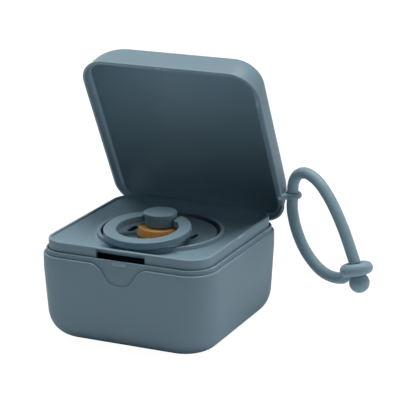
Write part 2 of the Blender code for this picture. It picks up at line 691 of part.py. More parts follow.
def well_profile(plate):
    """Section of the well: lip, wall, floor and the ring that the shield rests on."""
    outer = WELL_RADIUS + WELL_WALL
    round_off = WELL_WALL / 3
    rest_top = shield_height(REST_RADIUS) - SHIELD_THICKNESS - GAP
    floor_top = WELL_FLOOR_BOTTOM + WELL_FLOOR
    return [
        (outer - round_off, WELL_LIP_TOP), (outer, WELL_LIP_TOP - round_off),
        (outer + round_off, plate - WELL_FLOOR / 2), (outer, plate - WELL_FLOOR),
        (outer, WELL_FLOOR_BOTTOM), (REST_RADIUS, WELL_FLOOR_BOTTOM),
        (REST_RADIUS, rest_top), (REST_RADIUS + REST_WIDTH, rest_top),
        (REST_RADIUS + REST_WIDTH, floor_top), (WELL_RADIUS, floor_top),
        (WELL_RADIUS, WELL_LIP_TOP - round_off), (WELL_RADIUS + round_off, WELL_LIP_TOP)]


def pacifier_shield():
    """The round shield, dished on the handle side, with two vent slots."""
    steps = 5
    radii = [SHIELD_HOLE + (SHIELD_RADIUS - SHIELD_HOLE) * i / steps for i in range(steps + 1)]
    edge = SHIELD_THICKNESS / 3
    top = [(r, shield_height(r)) for r in radii[:-1]]
    top.append((SHIELD_RADIUS - edge, SHIELD_EDGE_TOP - edge / 8))
    side = [(SHIELD_RADIUS, SHIELD_EDGE_TOP - edge),
            (SHIELD_RADIUS, SHIELD_EDGE_TOP - SHIELD_THICKNESS + edge),
            (SHIELD_RADIUS - edge, SHIELD_EDGE_TOP - SHIELD_THICKNESS - edge / 8)]
    under = [(r, shield_height(r) - SHIELD_THICKNESS) for r in reversed(radii[:-1])]
    shield = turned("pacifier_shield", top + side + under, PIECES)
    for side_x in (-1, 1):
        slot = block(
            f"vent_{'left' if side_x < 0 else 'right'}",
            (side_x * VENT_PLACE - VENT_HALF_WIDTH, VENT_SET_BACK - VENT_HALF_LENGTH,
             SHIELD_CENTRE_TOP - SHIELD_THICKNESS - OVERRUN),
            (side_x * VENT_PLACE + VENT_HALF_WIDTH, VENT_SET_BACK + VENT_HALF_LENGTH,
             SHIELD_EDGE_TOP + OVERRUN), TOOLS)
        bevel = slot.modifiers.new("ends", "BEVEL")
        bevel.width = VENT_HALF_WIDTH * 0.9
        bevel.segments = 3
        bevel.limit_method = "WEIGHT"
        weights = slot.data.attributes.new("bevel_weight_edge", "FLOAT", "EDGE")
        for edge_item in slot.data.edges:
            a, b = (slot.data.vertices[v].co for v in edge_item.vertices)
            if abs(a.z - b.z) > OVERRUN:
                weights.data[edge_item.index].value = 1.0
        combine(shield, as_tool(slot), "DIFFERENCE")
    return finish_piece(shield, plastic("shield_plastic", SHIELD_GREY, 0.45))


def pacifier_teat():
    """The rubber teat: flange over the shield, neck through it and a hollow round bulb."""
    under = shield_height(SHIELD_HOLE) - SHIELD_THICKNESS
    tip = under - TEAT_LENGTH
    bulb = tip + TEAT_BULB_RADIUS
    middle = (FLANGE_TOP + FLANGE_BOTTOM) / 2
    outer = [
        (FLANGE_TOP_RADIUS - FLANGE_ROUND, FLANGE_TOP),
        (FLANGE_TOP_RADIUS - FLANGE_ROUND * 0.3, FLANGE_TOP - FLANGE_ROUND * 0.3),
        (FLANGE_TOP_RADIUS, FLANGE_TOP - FLANGE_ROUND), (FLANGE_RADIUS, middle),
        (FLANGE_RADIUS - FLANGE_BULGE / 2, FLANGE_BOTTOM + FLANGE_ROUND),
        (FLANGE_RADIUS - FLANGE_BULGE - FLANGE_ROUND, FLANGE_BOTTOM),
        (TEAT_NECK_RADIUS, FLANGE_BOTTOM), (TEAT_NECK_RADIUS, under - TEAT_BULB_RADIUS)]
    start = math.acos(TEAT_NECK_RADIUS / TEAT_BULB_RADIUS)
    for step in range(9):
        angle = start - (start + math.pi / 2) * step / 8
        outer.append((TEAT_BULB_RADIUS * max(math.cos(angle), 0.0),
                      bulb + TEAT_BULB_RADIUS * math.sin(angle)))
    hollow = TEAT_BULB_RADIUS - TEAT_WALL
    bore = TEAT_NECK_RADIUS - TEAT_WALL
    inner = []
    start = math.acos(bore / hollow)
    for step in range(7):
        angle = -math.pi / 2 + (start + math.pi / 2) * step / 6
        inner.append((hollow * max(math.cos(angle), 0.0), bulb + hollow * math.sin(angle)))
    inner[0] = (0.0, inner[0][1])
    inner.append((bore, FLANGE_TOP))
    outer[-1] = (0.0, tip)
    teat = open_turned("pacifier_teat", outer, inner)
    return finish_piece(teat, plastic("teat_rubber", AMBER, 0.35))


def open_turned(name, outer, inner):
    """A turned cup: the outer side down to the axis, then the hollow up to its mouth."""
    profile = inner + outer
    mesh_name = name
    mesh = bpy.data.meshes.new(mesh_name)
    points = [(radius, 0.0, height) for radius, height in profile]
    mesh.from_pydata(points, [(i, i + 1) for i in range(len(points) - 1)], [])
    obj = bpy.data.objects.new(name, mesh)
    PIECES.objects.link(obj)
    bm = bmesh.new()
    bm.from_mesh(mesh)
    bmesh.ops.spin(
        bm, geom=bm.verts[:] + bm.edges[:], cent=(0, 0, 0), axis=(0, 0, 1),
        angle=2 * math.pi, steps=24, use_merge=True)
    bmesh.ops.remove_doubles(bm, verts=bm.verts, dist=WELD)
    bmesh.ops.recalc_face_normals(bm, faces=bm.faces)
    bm.to_mesh(mesh)
    bm.free()
    return obj


def pacifier_knob():
    """The plug: round head over the flange, stem in the teat, cross bore for the ring."""
    stem = KNOB_BOTTOM - PLUG_DEPTH
    profile = [
        (0.0, KNOB_TOP), (KNOB_TOP_RADIUS - KNOB_ROUND, KNOB_TOP),
        (KNOB_TOP_RADIUS - KNOB_ROUND * 0.3, KNOB_TOP - KNOB_ROUND * 0.3),
        (KNOB_TOP_RADIUS, KNOB_TOP - KNOB_ROUND), (KNOB_FOOT_RADIUS, KNOB_BOTTOM),
        (PLUG_RADIUS, KNOB_BOTTOM), (PLUG_RADIUS, stem), (0.0, stem)]
    knob = turned("pacifier_knob", profile, PIECES, steps=32)
    for side in (-1, 1):
        bore = rod(
            f"trunnion_bore_{'left' if side < 0 else 'right'}", TRUNNION_RADIUS + GAP,
            (side * (TRUNNION_TIP - GAP), 0, RING_PIVOT_Z),
            (side * (KNOB_TOP_RADIUS + OVERRUN), 0, RING_PIVOT_Z), 16, TOOLS)
        combine(knob, as_tool(bore), "DIFFERENCE")
    return finish_piece(knob, plastic("knob_plastic", BLUE_GREY, 0.45))


def pacifier_ring():
    """The ring handle: a flat open ring whose ends turn in the plug."""
    axis = axis_empty("ring_axis", (0.0, 0.0, RING_PIVOT_Z), RING_REST_TILT)
    outline = []
    for radius, first, last in (
            (RING_OUTER, RING_END_OUTER_ANGLE, 2 * math.pi - RING_END_OUTER_ANGLE),
            (RING_INNER, 2 * math.pi - RING_END_INNER_ANGLE, RING_END_INNER_ANGLE)):
        for step in range(RING_STEPS + 1):
            angle = first + (last - first) * step / RING_STEPS
            outline.append((radius * math.sin(angle) + RING_PLAY,
                            radius * math.cos(angle) - RING_SET_BACK))
    ring = outline_solid("pacifier_ring", outline, RING_THICKNESS / 2, Matrix.Identity(4),
                         PIECES, bevel=RING_ROUND)
    for side in (-1, 1):
        trunnion = rod(
            f"trunnion_{'left' if side < 0 else 'right'}", TRUNNION_RADIUS,
            (side * (TRUNNION_TIP + RING_PLAY), 0, 0),
            (side * (RING_END_OUTER + TRUNNION_RADIUS) + RING_PLAY, 0, 0), 12, TOOLS)
        combine(ring, as_tool(trunnion, axis), "UNION")
    return finish_piece(ring, plastic("ring_plastic", BLUE_GREY, 0.45), axis)


def eyelet_centre():
    """Where the cord passes the eyelet, with the lid open as it stands."""
    closed = Vector((EYELET_X, EYELET_Y - HINGE_Y, EYELET_Z - HINGE_Z))
    turned_back = Matrix.Rotation(-LID_OPEN_ANGLE, 3, "X") @ closed
    return turned_back + Vector((0.0, HINGE_Y, HINGE_Z))


def strap(axis, centre):
    """The strap: two cord stretches, the ring end and the ball end."""
    outward = Vector((math.cos(STRAP_ANGLE), math.sin(STRAP_ANGLE), 0.0))

    def place(point):
        return Vector((centre.x, centre.y, 0.0)) + outward * point[0] + Vector((0, 0, point[1]))

    neck_top = (CLASP_PLACE[0] - math.sin(NECK_TILT) * (CLASP_NECK + GAP),
                CLASP_PLACE[1] + math.cos(NECK_TILT) * (CLASP_NECK + GAP))
    upper = [place(p) for p in UPPER_ROUTE + [neck_top]]
    lower = [place(p) for p in LOWER_ROUTE]
    for name, route in (("strap_cord_upper", upper), ("strap_cord_lower", lower)):
        cord = tube(name, smooth_route(route, CORD_STEP), CORD_RADIUS, PIECES, origin=centre)
        finish_piece(cord, plastic(name + "_silicone", STRAP_GREY, 0.4), axis)

    middle = place(CLASP_PLACE)

    def turn_by(tilt):
        way = outward * math.sin(tilt) - Vector((0, 0, math.cos(tilt)))
        return way.to_track_quat("Z", "Y").to_matrix().to_4x4()

    ring = ring_end(middle - centre, turn_by(CLASP_TILT))
    stem = tube("ring_stem", smooth_route([place(p) for p in STEM_ROUTE], CORD_STEP / 3),
                CORD_RADIUS, TOOLS, origin=centre)
    combine(ring, as_tool(stem, axis), "UNION")
    finish_piece(ring, plastic("ring_end_silicone", STRAP_GREY, 0.4), axis)

    start = -CLASP_NECK
    flare = start + CLASP_NECK_FLARE
    waist = CLASP_BALL_DROP - math.sqrt(CLASP_BALL_RADIUS ** 2 - CLASP_NECK_RADIUS ** 2)
    profile = [(0.0, start), (CORD_RADIUS, start), (CORD_RADIUS - WELD, start + CLASP_NECK_FLARE / 4),
               (CLASP_NECK_RADIUS, flare), (CLASP_NECK_RADIUS, waist)]
    first = math.asin(CLASP_NECK_RADIUS / CLASP_BALL_RADIUS)
    for step in range(1, 11):
        angle = first + (math.pi - first) * step / 10
        profile.append((max(CLASP_BALL_RADIUS * math.sin(angle), 0.0),
                        CLASP_BALL_DROP - CLASP_BALL_RADIUS * math.cos(angle)))
    profile[-1] = (0.0, CLASP_BALL_DROP + CLASP_BALL_RADIUS)
    profile = [(radius, -height) for radius, height in profile]
    ball = turned("strap_ball_end", profile, PIECES, steps=20)
    flip = turn_by(NECK_TILT) @ Matrix.Rotation(math.pi, 4, "X")
    ball.data.transform(Matrix.Translation(middle - centre) @ flip)
    finish_piece(ball, plastic("ball_end_silicone", STRAP_GREY, 0.4), axis)


def ring_end(middle, turn):
    """The ring moulded on the strap's end, which the ball is pushed through."""
    bpy.ops.mesh.primitive_torus_add(
        major_segments=24, minor_segments=12, major_radius=CLASP_RING_RADIUS,
        minor_radius=CLASP_TUBE_RADIUS)
    made = bpy.context.object
    bm = bmesh.new()
    bm.from_mesh(made.data)
    bpy.data.objects.remove(made, do_unlink=True)
    bmesh.ops.transform(bm, matrix=Matrix.Translation(middle) @ turn, verts=bm.verts)
    return add_mesh("strap_ring_end", bm, PIECES)


def main():
    """Build every piece."""
    lid_axis = axis_empty("lid_axis", (0.0, HINGE_Y, HINGE_Z), -LID_OPEN_ANGLE)
    case_shell()
    lid_shell(lid_axis)
    hinge_pin()
    insert_tray()
    pacifier_shield()
    pacifier_teat()
    pacifier_knob()
    pacifier_ring()
    centre = eyelet_centre()
    strap(axis_empty("strap_axis", centre), centre)
    bpy.context.view_layer.update()


main()
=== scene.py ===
"""Looks of the pacifier travel box: moulded case and lid, tray, pacifier and silicone strap.

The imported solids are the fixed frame. Each class below holds one sub-assembly's sizes in
metres, builds its visible meshes in the same frame and dresses them.
"""
import logging
import math
from collections.abc import Callable, Sequence
from dataclasses import dataclass, field
from enum import Enum
from functools import partial

import bmesh
import bpy
from bmesh.types import BMesh
from bpy.types import ID, Curve, Material, Mesh, Node, NodeSocket, NodeTree, Object, World
from mathutils import Matrix, Vector


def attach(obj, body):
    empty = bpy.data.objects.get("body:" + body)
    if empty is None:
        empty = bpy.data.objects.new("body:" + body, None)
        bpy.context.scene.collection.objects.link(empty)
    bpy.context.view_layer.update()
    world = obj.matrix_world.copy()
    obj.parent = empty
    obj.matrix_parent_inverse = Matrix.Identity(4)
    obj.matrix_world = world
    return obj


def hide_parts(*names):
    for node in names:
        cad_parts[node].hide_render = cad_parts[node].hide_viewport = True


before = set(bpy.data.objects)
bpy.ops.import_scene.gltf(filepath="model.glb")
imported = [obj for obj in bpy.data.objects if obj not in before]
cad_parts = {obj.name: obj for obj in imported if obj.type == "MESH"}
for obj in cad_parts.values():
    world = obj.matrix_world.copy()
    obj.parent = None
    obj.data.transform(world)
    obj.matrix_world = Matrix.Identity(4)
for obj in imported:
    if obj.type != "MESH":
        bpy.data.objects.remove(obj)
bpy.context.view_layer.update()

log = logging.getLogger("pacifier_box")

WELD = 0.000001  # points nearer than this become one, in metres as all sizes here
CURVE_WELD = 0.00001  # the same in a mesh made from a curve
OVERRUN = 0.003  # how far a cutter runs past what it cuts
SHARP_ANGLE = math.radians(33.0)  # a fold sharper than this stays crisp
ORIGIN = (0.0, 0.0)
ROUND = 4  # pieces in a small rounding
TURNED_FACES = 96  # faces round a turned form
BAR_FACES = 40  # faces round a bar
PIN_FACES = 24  # faces round a pin or its bore
HEADING_DIGITS = 7  # headings that agree this far are one
NEAR_ZERO = 1e-9  # keeps a division finite
MM_PER_M = 1000  # millimetres in a metre
FIRST, SECOND = 6, 7  # the two colours of a colour mix
STILL = Matrix()  # leaves a form where it is
UPRIGHT = Matrix(((0, 0, 1, 0), (1, 0, 0, 0), (0, 1, 0, 0), (0, 0, 0, 1)))  # XY to YZ

Point = tuple[float, float]
Profile = list[Point]
Ring = list[Vector]


class Body(Enum):
    """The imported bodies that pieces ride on."""

    CASE = "case"
    LID = "lid"
    TRAY = "tray"
    PACIFIER = "pacifier"
    HANDLE = "handle"
    STRAP = "strap"


class Slot(Enum):
    """Names of the record's material slots."""

    CASE = "case"
    LID = "lid"
    TRAY = "tray"
    SHIELD = "shield"
    TEAT = "teat"
    HANDLE = "handle"
    STRAP = "strap"


class Ends(Enum):
    """What becomes of the first and last ring of a stack."""

    CAPPED = "closed by flat faces"
    JOINED = "joined to each other"
    OPEN = "left, as points or open"


class Combine(Enum):
    """What a tool does to a piece."""

    CUT = "DIFFERENCE"
    JOIN = "UNION"


# Colours and nodes


def linear(hex_colour: str, share: float = 1.0) -> tuple[float, float, float, float]:
    """Turn an sRGB hex colour into a linear one.

    Args:
        hex_colour: six hex digits after a hash sign.
        share: factor on its red, green and blue.

    Returns:
        Linear red, green, blue and an alpha of 1.
    """
    values = [int(hex_colour[i:i + 2], 16) / 255 for i in (1, 3, 5)]
    parts = [v / 12.92 if v <= 0.04045 else ((v + 0.055) / 1.055) ** 2.4 for v in values]
    return (*(part * share for part in parts), 1.0)


def add_node(tree: NodeTree, kind: str, inputs: dict | None = None, **settings: object) -> Node:
    """Add one node with its settings, values and links.

    Args:
        tree: the node tree it goes in.
        kind: Blender's name of the shader node, after the word ShaderNode.
        inputs: input name or number to a value, an output socket, or a node that gives its
            first live output.
        settings: the node's own properties.

    Returns:
        The new node.
    """
    node = tree.nodes.new("ShaderNode" + kind)
    for name, value in settings.items():
        setattr(node, name, value)
    for name, value in (inputs or {}).items():
        if isinstance(value, Node):
            value = next(socket for socket in value.outputs if socket.enabled)
        if isinstance(value, NodeSocket):
            tree.links.new(value, node.inputs[name])
        else:
            node.inputs[name].default_value = value
    return node


def cleared(owner: Material | World) -> Callable[..., Node]:
    """Switch on the nodes of a material or a world and clear them.

    Args:
        owner: the material or world.

    Returns:
        add_node for its node tree.
    """
    owner.use_nodes = True
    owner.node_tree.nodes.clear()
    return partial(add_node, owner.node_tree)


@dataclass(frozen=True)
class MouldedPlastic:
    """Injection-moulded polypropylene from a spark-eroded tool: fine, even matt grain.

    The eye sees a soft broad sheen and a faint drift of tone across each wall from the flow of the
    melt. The edges are painted paler: a painted highlight along the arrises, which also stands for
    slight edge wear. The real grain is finer, and is drawn as coarse as it needs to show. IOR of
    polypropylene is 1.49.
    """

    name: str
    colour: str
    rubbed_and_highlit: str
    roughness: float = 0.52
    uneven: float = 0.05
    grain_mm: float = 0.32
    grain_depth_mm: float = 0.012
    flow_mm: float = 26.0
    drift: float = 0.035
    ior: float = 1.49

    def build(self) -> Material:
        """Make the material.

        Returns:
            The material.
        """
        material = bpy.data.materials.new(self.name)
        node = cleared(material)
        place = node("TexCoord").outputs["Object"]
        flow, grain = (node("TexNoise", {
            "Vector": place, "Scale": MM_PER_M / size, "Detail": detail, "Roughness": rough})
            for size, detail, rough in ((self.flow_mm, 3.0, 0.55), (self.grain_mm, 2.0, 0.6)))
        # Pointiness paints the edges paler: a painted highlight along the arrises, partly edge wear
        edge_highlight_and_wear_mask = node("MapRange", {
            "Value": node("NewGeometry").outputs["Pointiness"], "From Min": 0.515,
            "From Max": 0.60, "To Min": 0.0, "To Max": 0.9})
        drift = node("Mix", {"Factor": flow, FIRST: linear(self.colour, 1 - self.drift),
                             SECOND: linear(self.colour, 1 + self.drift)}, data_type="RGBA")
        tone = node("Mix", {"Factor": edge_highlight_and_wear_mask, FIRST: drift, SECOND: linear(self.rubbed_and_highlit)},
                    data_type="RGBA")
        rough = node("MapRange", {
            "Value": grain, "From Min": 0.3, "From Max": 0.7,
            "To Min": self.roughness - self.uneven, "To Max": self.roughness + self.uneven})
        bump = node("Bump", {
            "Height": grain, "Strength": 0.55, "Distance": self.grain_depth_mm / MM_PER_M})
        node("OutputMaterial", {"Surface": node("BsdfPrincipled", {
            "Base Color": tone, "Roughness": rough, "IOR": self.ior, "Normal": bump})})
        return material


@dataclass(frozen=True)
class DippedRubber:
    """Natural rubber latex, dipped and vulcanised: smooth, amber and slightly see-through.

    Light goes a few millimetres into it, so thin edges glow and the tone is uneven. IOR 1.52.
    """

    name: str
    colour: str
    deep: str
    roughness: float = 0.34
    cloud_mm: float = 5.0
    ripple_mm: float = 0.6
    ripple_depth_mm: float = 0.02
    depth_mm: float = 2.2
    ior: float = 1.52

    def build(self) -> Material:
        """Make the material.

        Returns:
            The material.
        """
        material = bpy.data.materials.new(self.name)
        node = cleared(material)
        place = node("TexCoord").outputs["Object"]
        cloud, ripple = (node("TexNoise", {
            "Vector": place, "Scale": MM_PER_M / size, "Detail": detail})
            for size, detail in ((self.cloud_mm, 3.0), (self.ripple_mm, 2.0)))
        tone = node("Mix", {"Factor": cloud, FIRST: linear(self.deep),
                            SECOND: linear(self.colour)}, data_type="RGBA")
        bump = node("Bump", {
            "Height": ripple, "Strength": 0.3, "Distance": self.ripple_depth_mm / MM_PER_M})
        node("OutputMaterial", {"Surface": node("BsdfPrincipled", {
            "Base Color": tone, "Roughness": self.roughness, "IOR": self.ior,
            "Subsurface Weight": 0.35, "Subsurface Radius": (1.0, 0.45, 0.15),
            "Subsurface Scale": self.depth_mm / MM_PER_M, "Normal": bump})})
        return material


@dataclass(frozen=True)
class MouldedSilicone:
    """Liquid silicone rubber from a polished tool: soft satin skin with a powdery sheen.

    A faint bloom evens its highlights, and the tool's parting line runs round the strap in
    the plane of its loop. IOR of silicone is 1.41.
    """

    name: str
    colour: str
    plane_point: tuple[float, float, float]
    plane_normal: tuple[float, float, float]
    roughness: float = 0.48
    line_mm: float = 0.22
    line_height_mm: float = 0.08
    grain_mm: float = 0.35
    grain_share: float = 0.12
    mottle_mm: float = 7.0
    dark: float = 0.96
    light: float = 1.05
    depth_mm: float = 1.5
    ior: float = 1.41

    def build(self) -> Material:
        """Make the material.

        Returns:
            The material.
        """
        material = bpy.data.materials.new(self.name)
        node = cleared(material)
        place = node("TexCoord").outputs["Object"]
        mottle, grain = (node("TexNoise", {
            "Vector": place, "Scale": MM_PER_M / size, "Detail": detail})
            for size, detail in ((self.mottle_mm, 3.0), (self.grain_mm, 2.0)))
        offset = node("VectorMath", {0: place, 1: self.plane_point}, operation="SUBTRACT")
        away = node("VectorMath", {0: offset, 1: self.plane_normal}, operation="DOT_PRODUCT")
        line = node("MapRange", {
            "Value": node("Math", {0: away}, operation="ABSOLUTE"), "From Min": 0.0,
            "From Max": self.line_mm / MM_PER_M, "To Min": 1.0, "To Max": 0.0})
        height = node("Math", {0: grain, 1: self.grain_share, 2: line},
                      operation="MULTIPLY_ADD")
        tone = node("Mix", {"Factor": mottle, FIRST: linear(self.colour, self.dark),
                            SECOND: linear(self.colour, self.light)}, data_type="RGBA")
        bump = node("Bump", {
            "Height": height, "Strength": 0.5, "Distance": self.line_height_mm / MM_PER_M})
        node("OutputMaterial", {"Surface": node("BsdfPrincipled", {
            "Base Color": tone, "Roughness": self.roughness, "IOR": self.ior,
            "Sheen Weight": 0.30, "Sheen Roughness": 0.4, "Subsurface Weight": 0.20,
            "Subsurface Radius": (1.0, 1.0, 1.0), "Subsurface Scale": self.depth_mm / MM_PER_M,
            "Normal": bump})})
        return material


# Mesh helpers


def shown(name: str, data: ID) -> Object:
    """Put data into the scene.

    Args:
        name: the object's name.
        data: a mesh, curve, camera or lamp.

    Returns:
        The object.
    """
    obj = bpy.data.objects.new(name, data)
    bpy.context.scene.collection.objects.link(obj)
    return obj


def evaluated(obj: Object) -> Mesh:
    """The mesh that an object's curve or modifiers make."""
    bpy.context.view_layer.update()
    return bpy.data.meshes.new_from_object(
        obj.evaluated_get(bpy.context.evaluated_depsgraph_get()))


def smooth(mesh: Mesh) -> None:
    """Shade a mesh smooth with its sharp folds kept."""
    mesh.shade_smooth()
    mesh.set_sharp_from_angle(angle=SHARP_ANGLE)


def piece_of(name: str, bm: BMesh, place: Matrix, weld: float = WELD) -> Object:
    """Turn a bmesh into a shown piece with outward, smooth faces.

    Args:
        name: the piece's name.
        bm: its mesh, which is freed.
        place: where it goes.
        weld: points nearer than this become one.

    Returns:
        The piece.
    """
    bmesh.ops.remove_doubles(bm, verts=bm.verts, dist=weld)
    bmesh.ops.transform(bm, matrix=place, verts=bm.verts)
    bmesh.ops.recalc_face_normals(bm, faces=bm.faces)
    mesh = bpy.data.meshes.new(name)
    bm.to_mesh(mesh)
    bm.free()
    smooth(mesh)
    return shown(name, mesh)


def skin(name: str, rings: Sequence[Ring], ends: Ends = Ends.CAPPED, place: Matrix = STILL
         ) -> Object:
    """Stretch faces over a stack of rings, which have equal counts or are single points.

    Args:
        name: the piece's name.
        rings: the sections, in order.
        ends: what closes the first and last.
        place: where the form goes.

    Returns:
        The piece.
    """
    bm = bmesh.new()
    loops = [[bm.verts.new(point) for point in ring] for ring in rings]
    if ends is Ends.JOINED:
        loops.append(loops[0])
    count = max(len(loop) for loop in loops)
    for near, far in zip(loops, loops[1:]):
        for i in range(count):
            j = (i + 1) % count
            corners = dict.fromkeys((near[i % len(near)], near[j % len(near)],
                                     far[j % len(far)], far[i % len(far)]))
            if len(corners) > 2:
                bm.faces.new(list(corners))
    if ends is Ends.CAPPED:
        bm.faces.new(loops[0][::-1])
        bm.faces.new(loops[-1])
    return piece_of(name, bm, place)


def turned(name: str, profile: Profile, steps: int = TURNED_FACES,
           place: Matrix = STILL) -> Object:
    """Turn a profile of radius and height round Z.

    Args:
        name: the piece's name.
        profile: points from one end to the other. A radius of 0 closes the form there, and
            otherwise the last point joins the first.
        steps: faces round the axis.
        place: where the turned form goes.

    Returns:
        The piece.
    """
    turns = [2 * math.pi * i / steps for i in range(steps)]
    rings = [[Vector((radius * math.cos(turn), radius * math.sin(turn), height))
              for turn in turns[:steps if radius > 0 else 1]] for radius, height in profile]
    closed = min(profile[0][0], profile[-1][0]) > 0
    return skin(name, rings, Ends.JOINED if closed else Ends.OPEN, place)


def arc(centre: Point, radius: float, start: float, end: float, steps: int) -> Profile:
    """Points along an arc.

    Args:
        centre: its centre.
        radius: its radius.
        start: first angle in degrees.
        end: last angle in degrees.
        steps: how many pieces it is cut into.

    Returns:
        The points, both ends included.
    """
    angles = [math.radians(start + (end - start) * share) for share in shares(steps)]
    return [(centre[0] + radius * math.cos(a), centre[1] + radius * math.sin(a))
            for a in angles]


def shares(steps: int) -> list[float]:
    """Evenly spread numbers from 0 to 1, both included."""
    return [i / steps for i in range(steps + 1)]


def eased(a: float, b: float, share: float) -> float:
    """Blend two values with a slow start and end."""
    return a + (b - a) * (0.5 - 0.5 * math.cos(math.pi * share))


def combined(obj: Object, tool: Object, how: Combine = Combine.CUT) -> Object:
    """Cut a tool out of a piece, or join it on, and delete the tool.

    Args:
        obj: the piece.
        tool: the other body.
        how: cut or join.

    Returns:
        The piece.
    """
    modifier = obj.modifiers.new("combine", "BOOLEAN")
    modifier.operation, modifier.solver, modifier.object = how.value, "EXACT", tool
    mesh = evaluated(obj)
    obj.modifiers.clear()
    obj.data = mesh
    smooth(mesh)
    bpy.data.objects.remove(tool, do_unlink=True)
    return obj


def bar(name: str, radius: float, start: Vector, end: Vector, steps: int = BAR_FACES,
        edge: float = 0.0) -> Object:
    """A round bar between two points.

    Args:
        name: the piece's name.
        radius: its radius.
        start: one end.
        end: the other end.
        steps: faces round it.
        edge: rounding radius of both ends.

    Returns:
        The piece.
    """
    length = (end - start).length
    profile = [ORIGIN] + arc((radius - edge, edge), edge, -90, 0, ROUND)
    profile += arc((radius - edge, length - edge), edge, 0, 90, ROUND) + [(0.0, length)]
    turn = (end - start).to_track_quat("Z", "Y").to_matrix().to_4x4()
    return turned(name, profile, steps, Matrix.Translation(start) @ turn)


def traced(name: str, points: Sequence[Sequence[float]], **settings: object) -> Curve:
    """A curve with straight pieces between points.

    Args:
        name: its name.
        points: its points in space.
        settings: the curve's own properties.

    Returns:
        The curve.
    """
    curve = bpy.data.curves.new(name, "CURVE")
    for key, value in settings.items():
        setattr(curve, key, value)
    spline = curve.splines.new("POLY")
    spline.points.add(len(points) - 1)
    for knot, point in zip(spline.points, points):
        knot.co = (*point, 1.0)
    return curve


def solid(curve: Curve, place: Matrix = STILL) -> Object:
    """Turn a curve with a thickness into a piece of its name.

    Args:
        curve: the curve.
        place: where the form goes.

    Returns:
        The piece.
    """
    guide = shown("guide", curve)
    bm = bmesh.new()
    bm.from_mesh(evaluated(guide))
    bpy.data.objects.remove(guide, do_unlink=True)
    return piece_of(curve.name, bm, place, CURVE_WELD)


def slab(name: str, outline: Profile, half_thickness: float, place: Matrix,
         bevel: float = 0.0, bevel_steps: int = 3) -> Object:
    """A flat outline extruded both ways, with rounded edges.

    Args:
        name: the piece's name.
        outline: its points, in order.
        half_thickness: half of its whole thickness.
        place: frame whose X and Y carry the outline and whose Z is the thickness.
        bevel: edge rounding.
        bevel_steps: pieces in each rounded edge.

    Returns:
        The piece.
    """
    curve = traced(name, [(*point, 0.0) for point in outline], dimensions="2D",
                   fill_mode="BOTH", extrude=half_thickness - bevel, bevel_depth=bevel,
                   bevel_resolution=bevel_steps, offset=-bevel)
    curve.splines[0].use_cyclic_u = True
    return solid(curve, place)


def dress(obj: Object, material: Material, body: Body, node: str) -> Object:
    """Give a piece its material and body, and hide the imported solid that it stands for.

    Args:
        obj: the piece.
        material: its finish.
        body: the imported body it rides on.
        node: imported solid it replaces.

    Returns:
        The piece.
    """
    obj.data.materials.clear()
    obj.data.materials.append(material)
    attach(obj, body.value)
    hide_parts(node)
    log.info("built %s", obj.name)
    return obj


@dataclass
class Plan:
    """Rounded-rectangle plans that share one set of headings, so their rings line up."""

    half_width: float
    half_depth: float
    corner: float
    notch_half_width: float
    corner_steps: int = 16
    side_steps: int = 22
    notch_steps: int = 48
    notch_margin: float = 1.06
    beside_steps: int = 5
    headings: list[float] = field(default_factory=list)

    def __post_init__(self) -> None:
        """Choose the headings: dense in the corners and along the front notch."""
        points: Profile = []
        flat_x, flat_y = self.half_width - self.corner, self.half_depth - self.corner
        for turn, (x, y) in enumerate(((1, 1), (-1, 1), (-1, -1), (1, -1))):
            points += arc((x * flat_x, y * flat_y), self.corner, 90 * turn, 90 * turn + 90,
                          self.corner_steps)
        for share in shares(self.side_steps)[1:-1]:
            place = 2 * share - 1
            points += [(self.half_width, flat_y * place), (-self.half_width, flat_y * place),
                       (flat_x * place, self.half_depth)]
        reach = self.notch_half_width * self.notch_margin
        points += [(reach * (2 * share - 1), -self.half_depth)
                   for share in shares(self.notch_steps)]
        for share in shares(self.beside_steps)[1:-1]:
            place = reach + (flat_x - reach) * share
            points += [(place, -self.half_depth), (-place, -self.half_depth)]
        self.headings = sorted({round(math.atan2(y, x) % (2 * math.pi), HEADING_DIGITS)
                                for x, y in points})

    def rectangle(self, half_width: float, half_depth: float, corner: float, height: float) -> Ring:
        """A rounded rectangle at one height, one point on each heading.

        Args:
            half_width: half its size along X.
            half_depth: half its size along Y.
            corner: its corner radius.
            height: its Z.

        Returns:
            The ring.
        """
        ring = []
        mx, my = half_width - corner, half_depth - corner
        for heading in self.headings:
            c, s = math.cos(heading), math.sin(heading)
            dx, dy = max(abs(c), NEAR_ZERO), max(abs(s), NEAR_ZERO)
            reach = min(half_width / dx, half_depth / dy)
            if reach * dx > mx and reach * dy > my:
                along = dx * mx + dy * my
                reach = along + math.sqrt(max(along ** 2 - mx ** 2 - my ** 2 + corner ** 2, 0.0))
            ring.append(Vector((reach * c, reach * s, height)))
        return ring

    def level(self, piece: "Case | Lid | Tray", inset: float, height: float) -> Ring:
        """A level section of a piece's walls, drawn in by inset."""
        return self.rectangle(piece.half_width - inset, piece.half_depth - inset,
                              piece.corner - inset * piece.corner_share, height)

    def circle(self, radius: float, height: float) -> Ring:
        """A circle at one height, one point on each heading."""
        return [Vector((radius * math.cos(h), radius * math.sin(h), height))
                for h in self.headings]


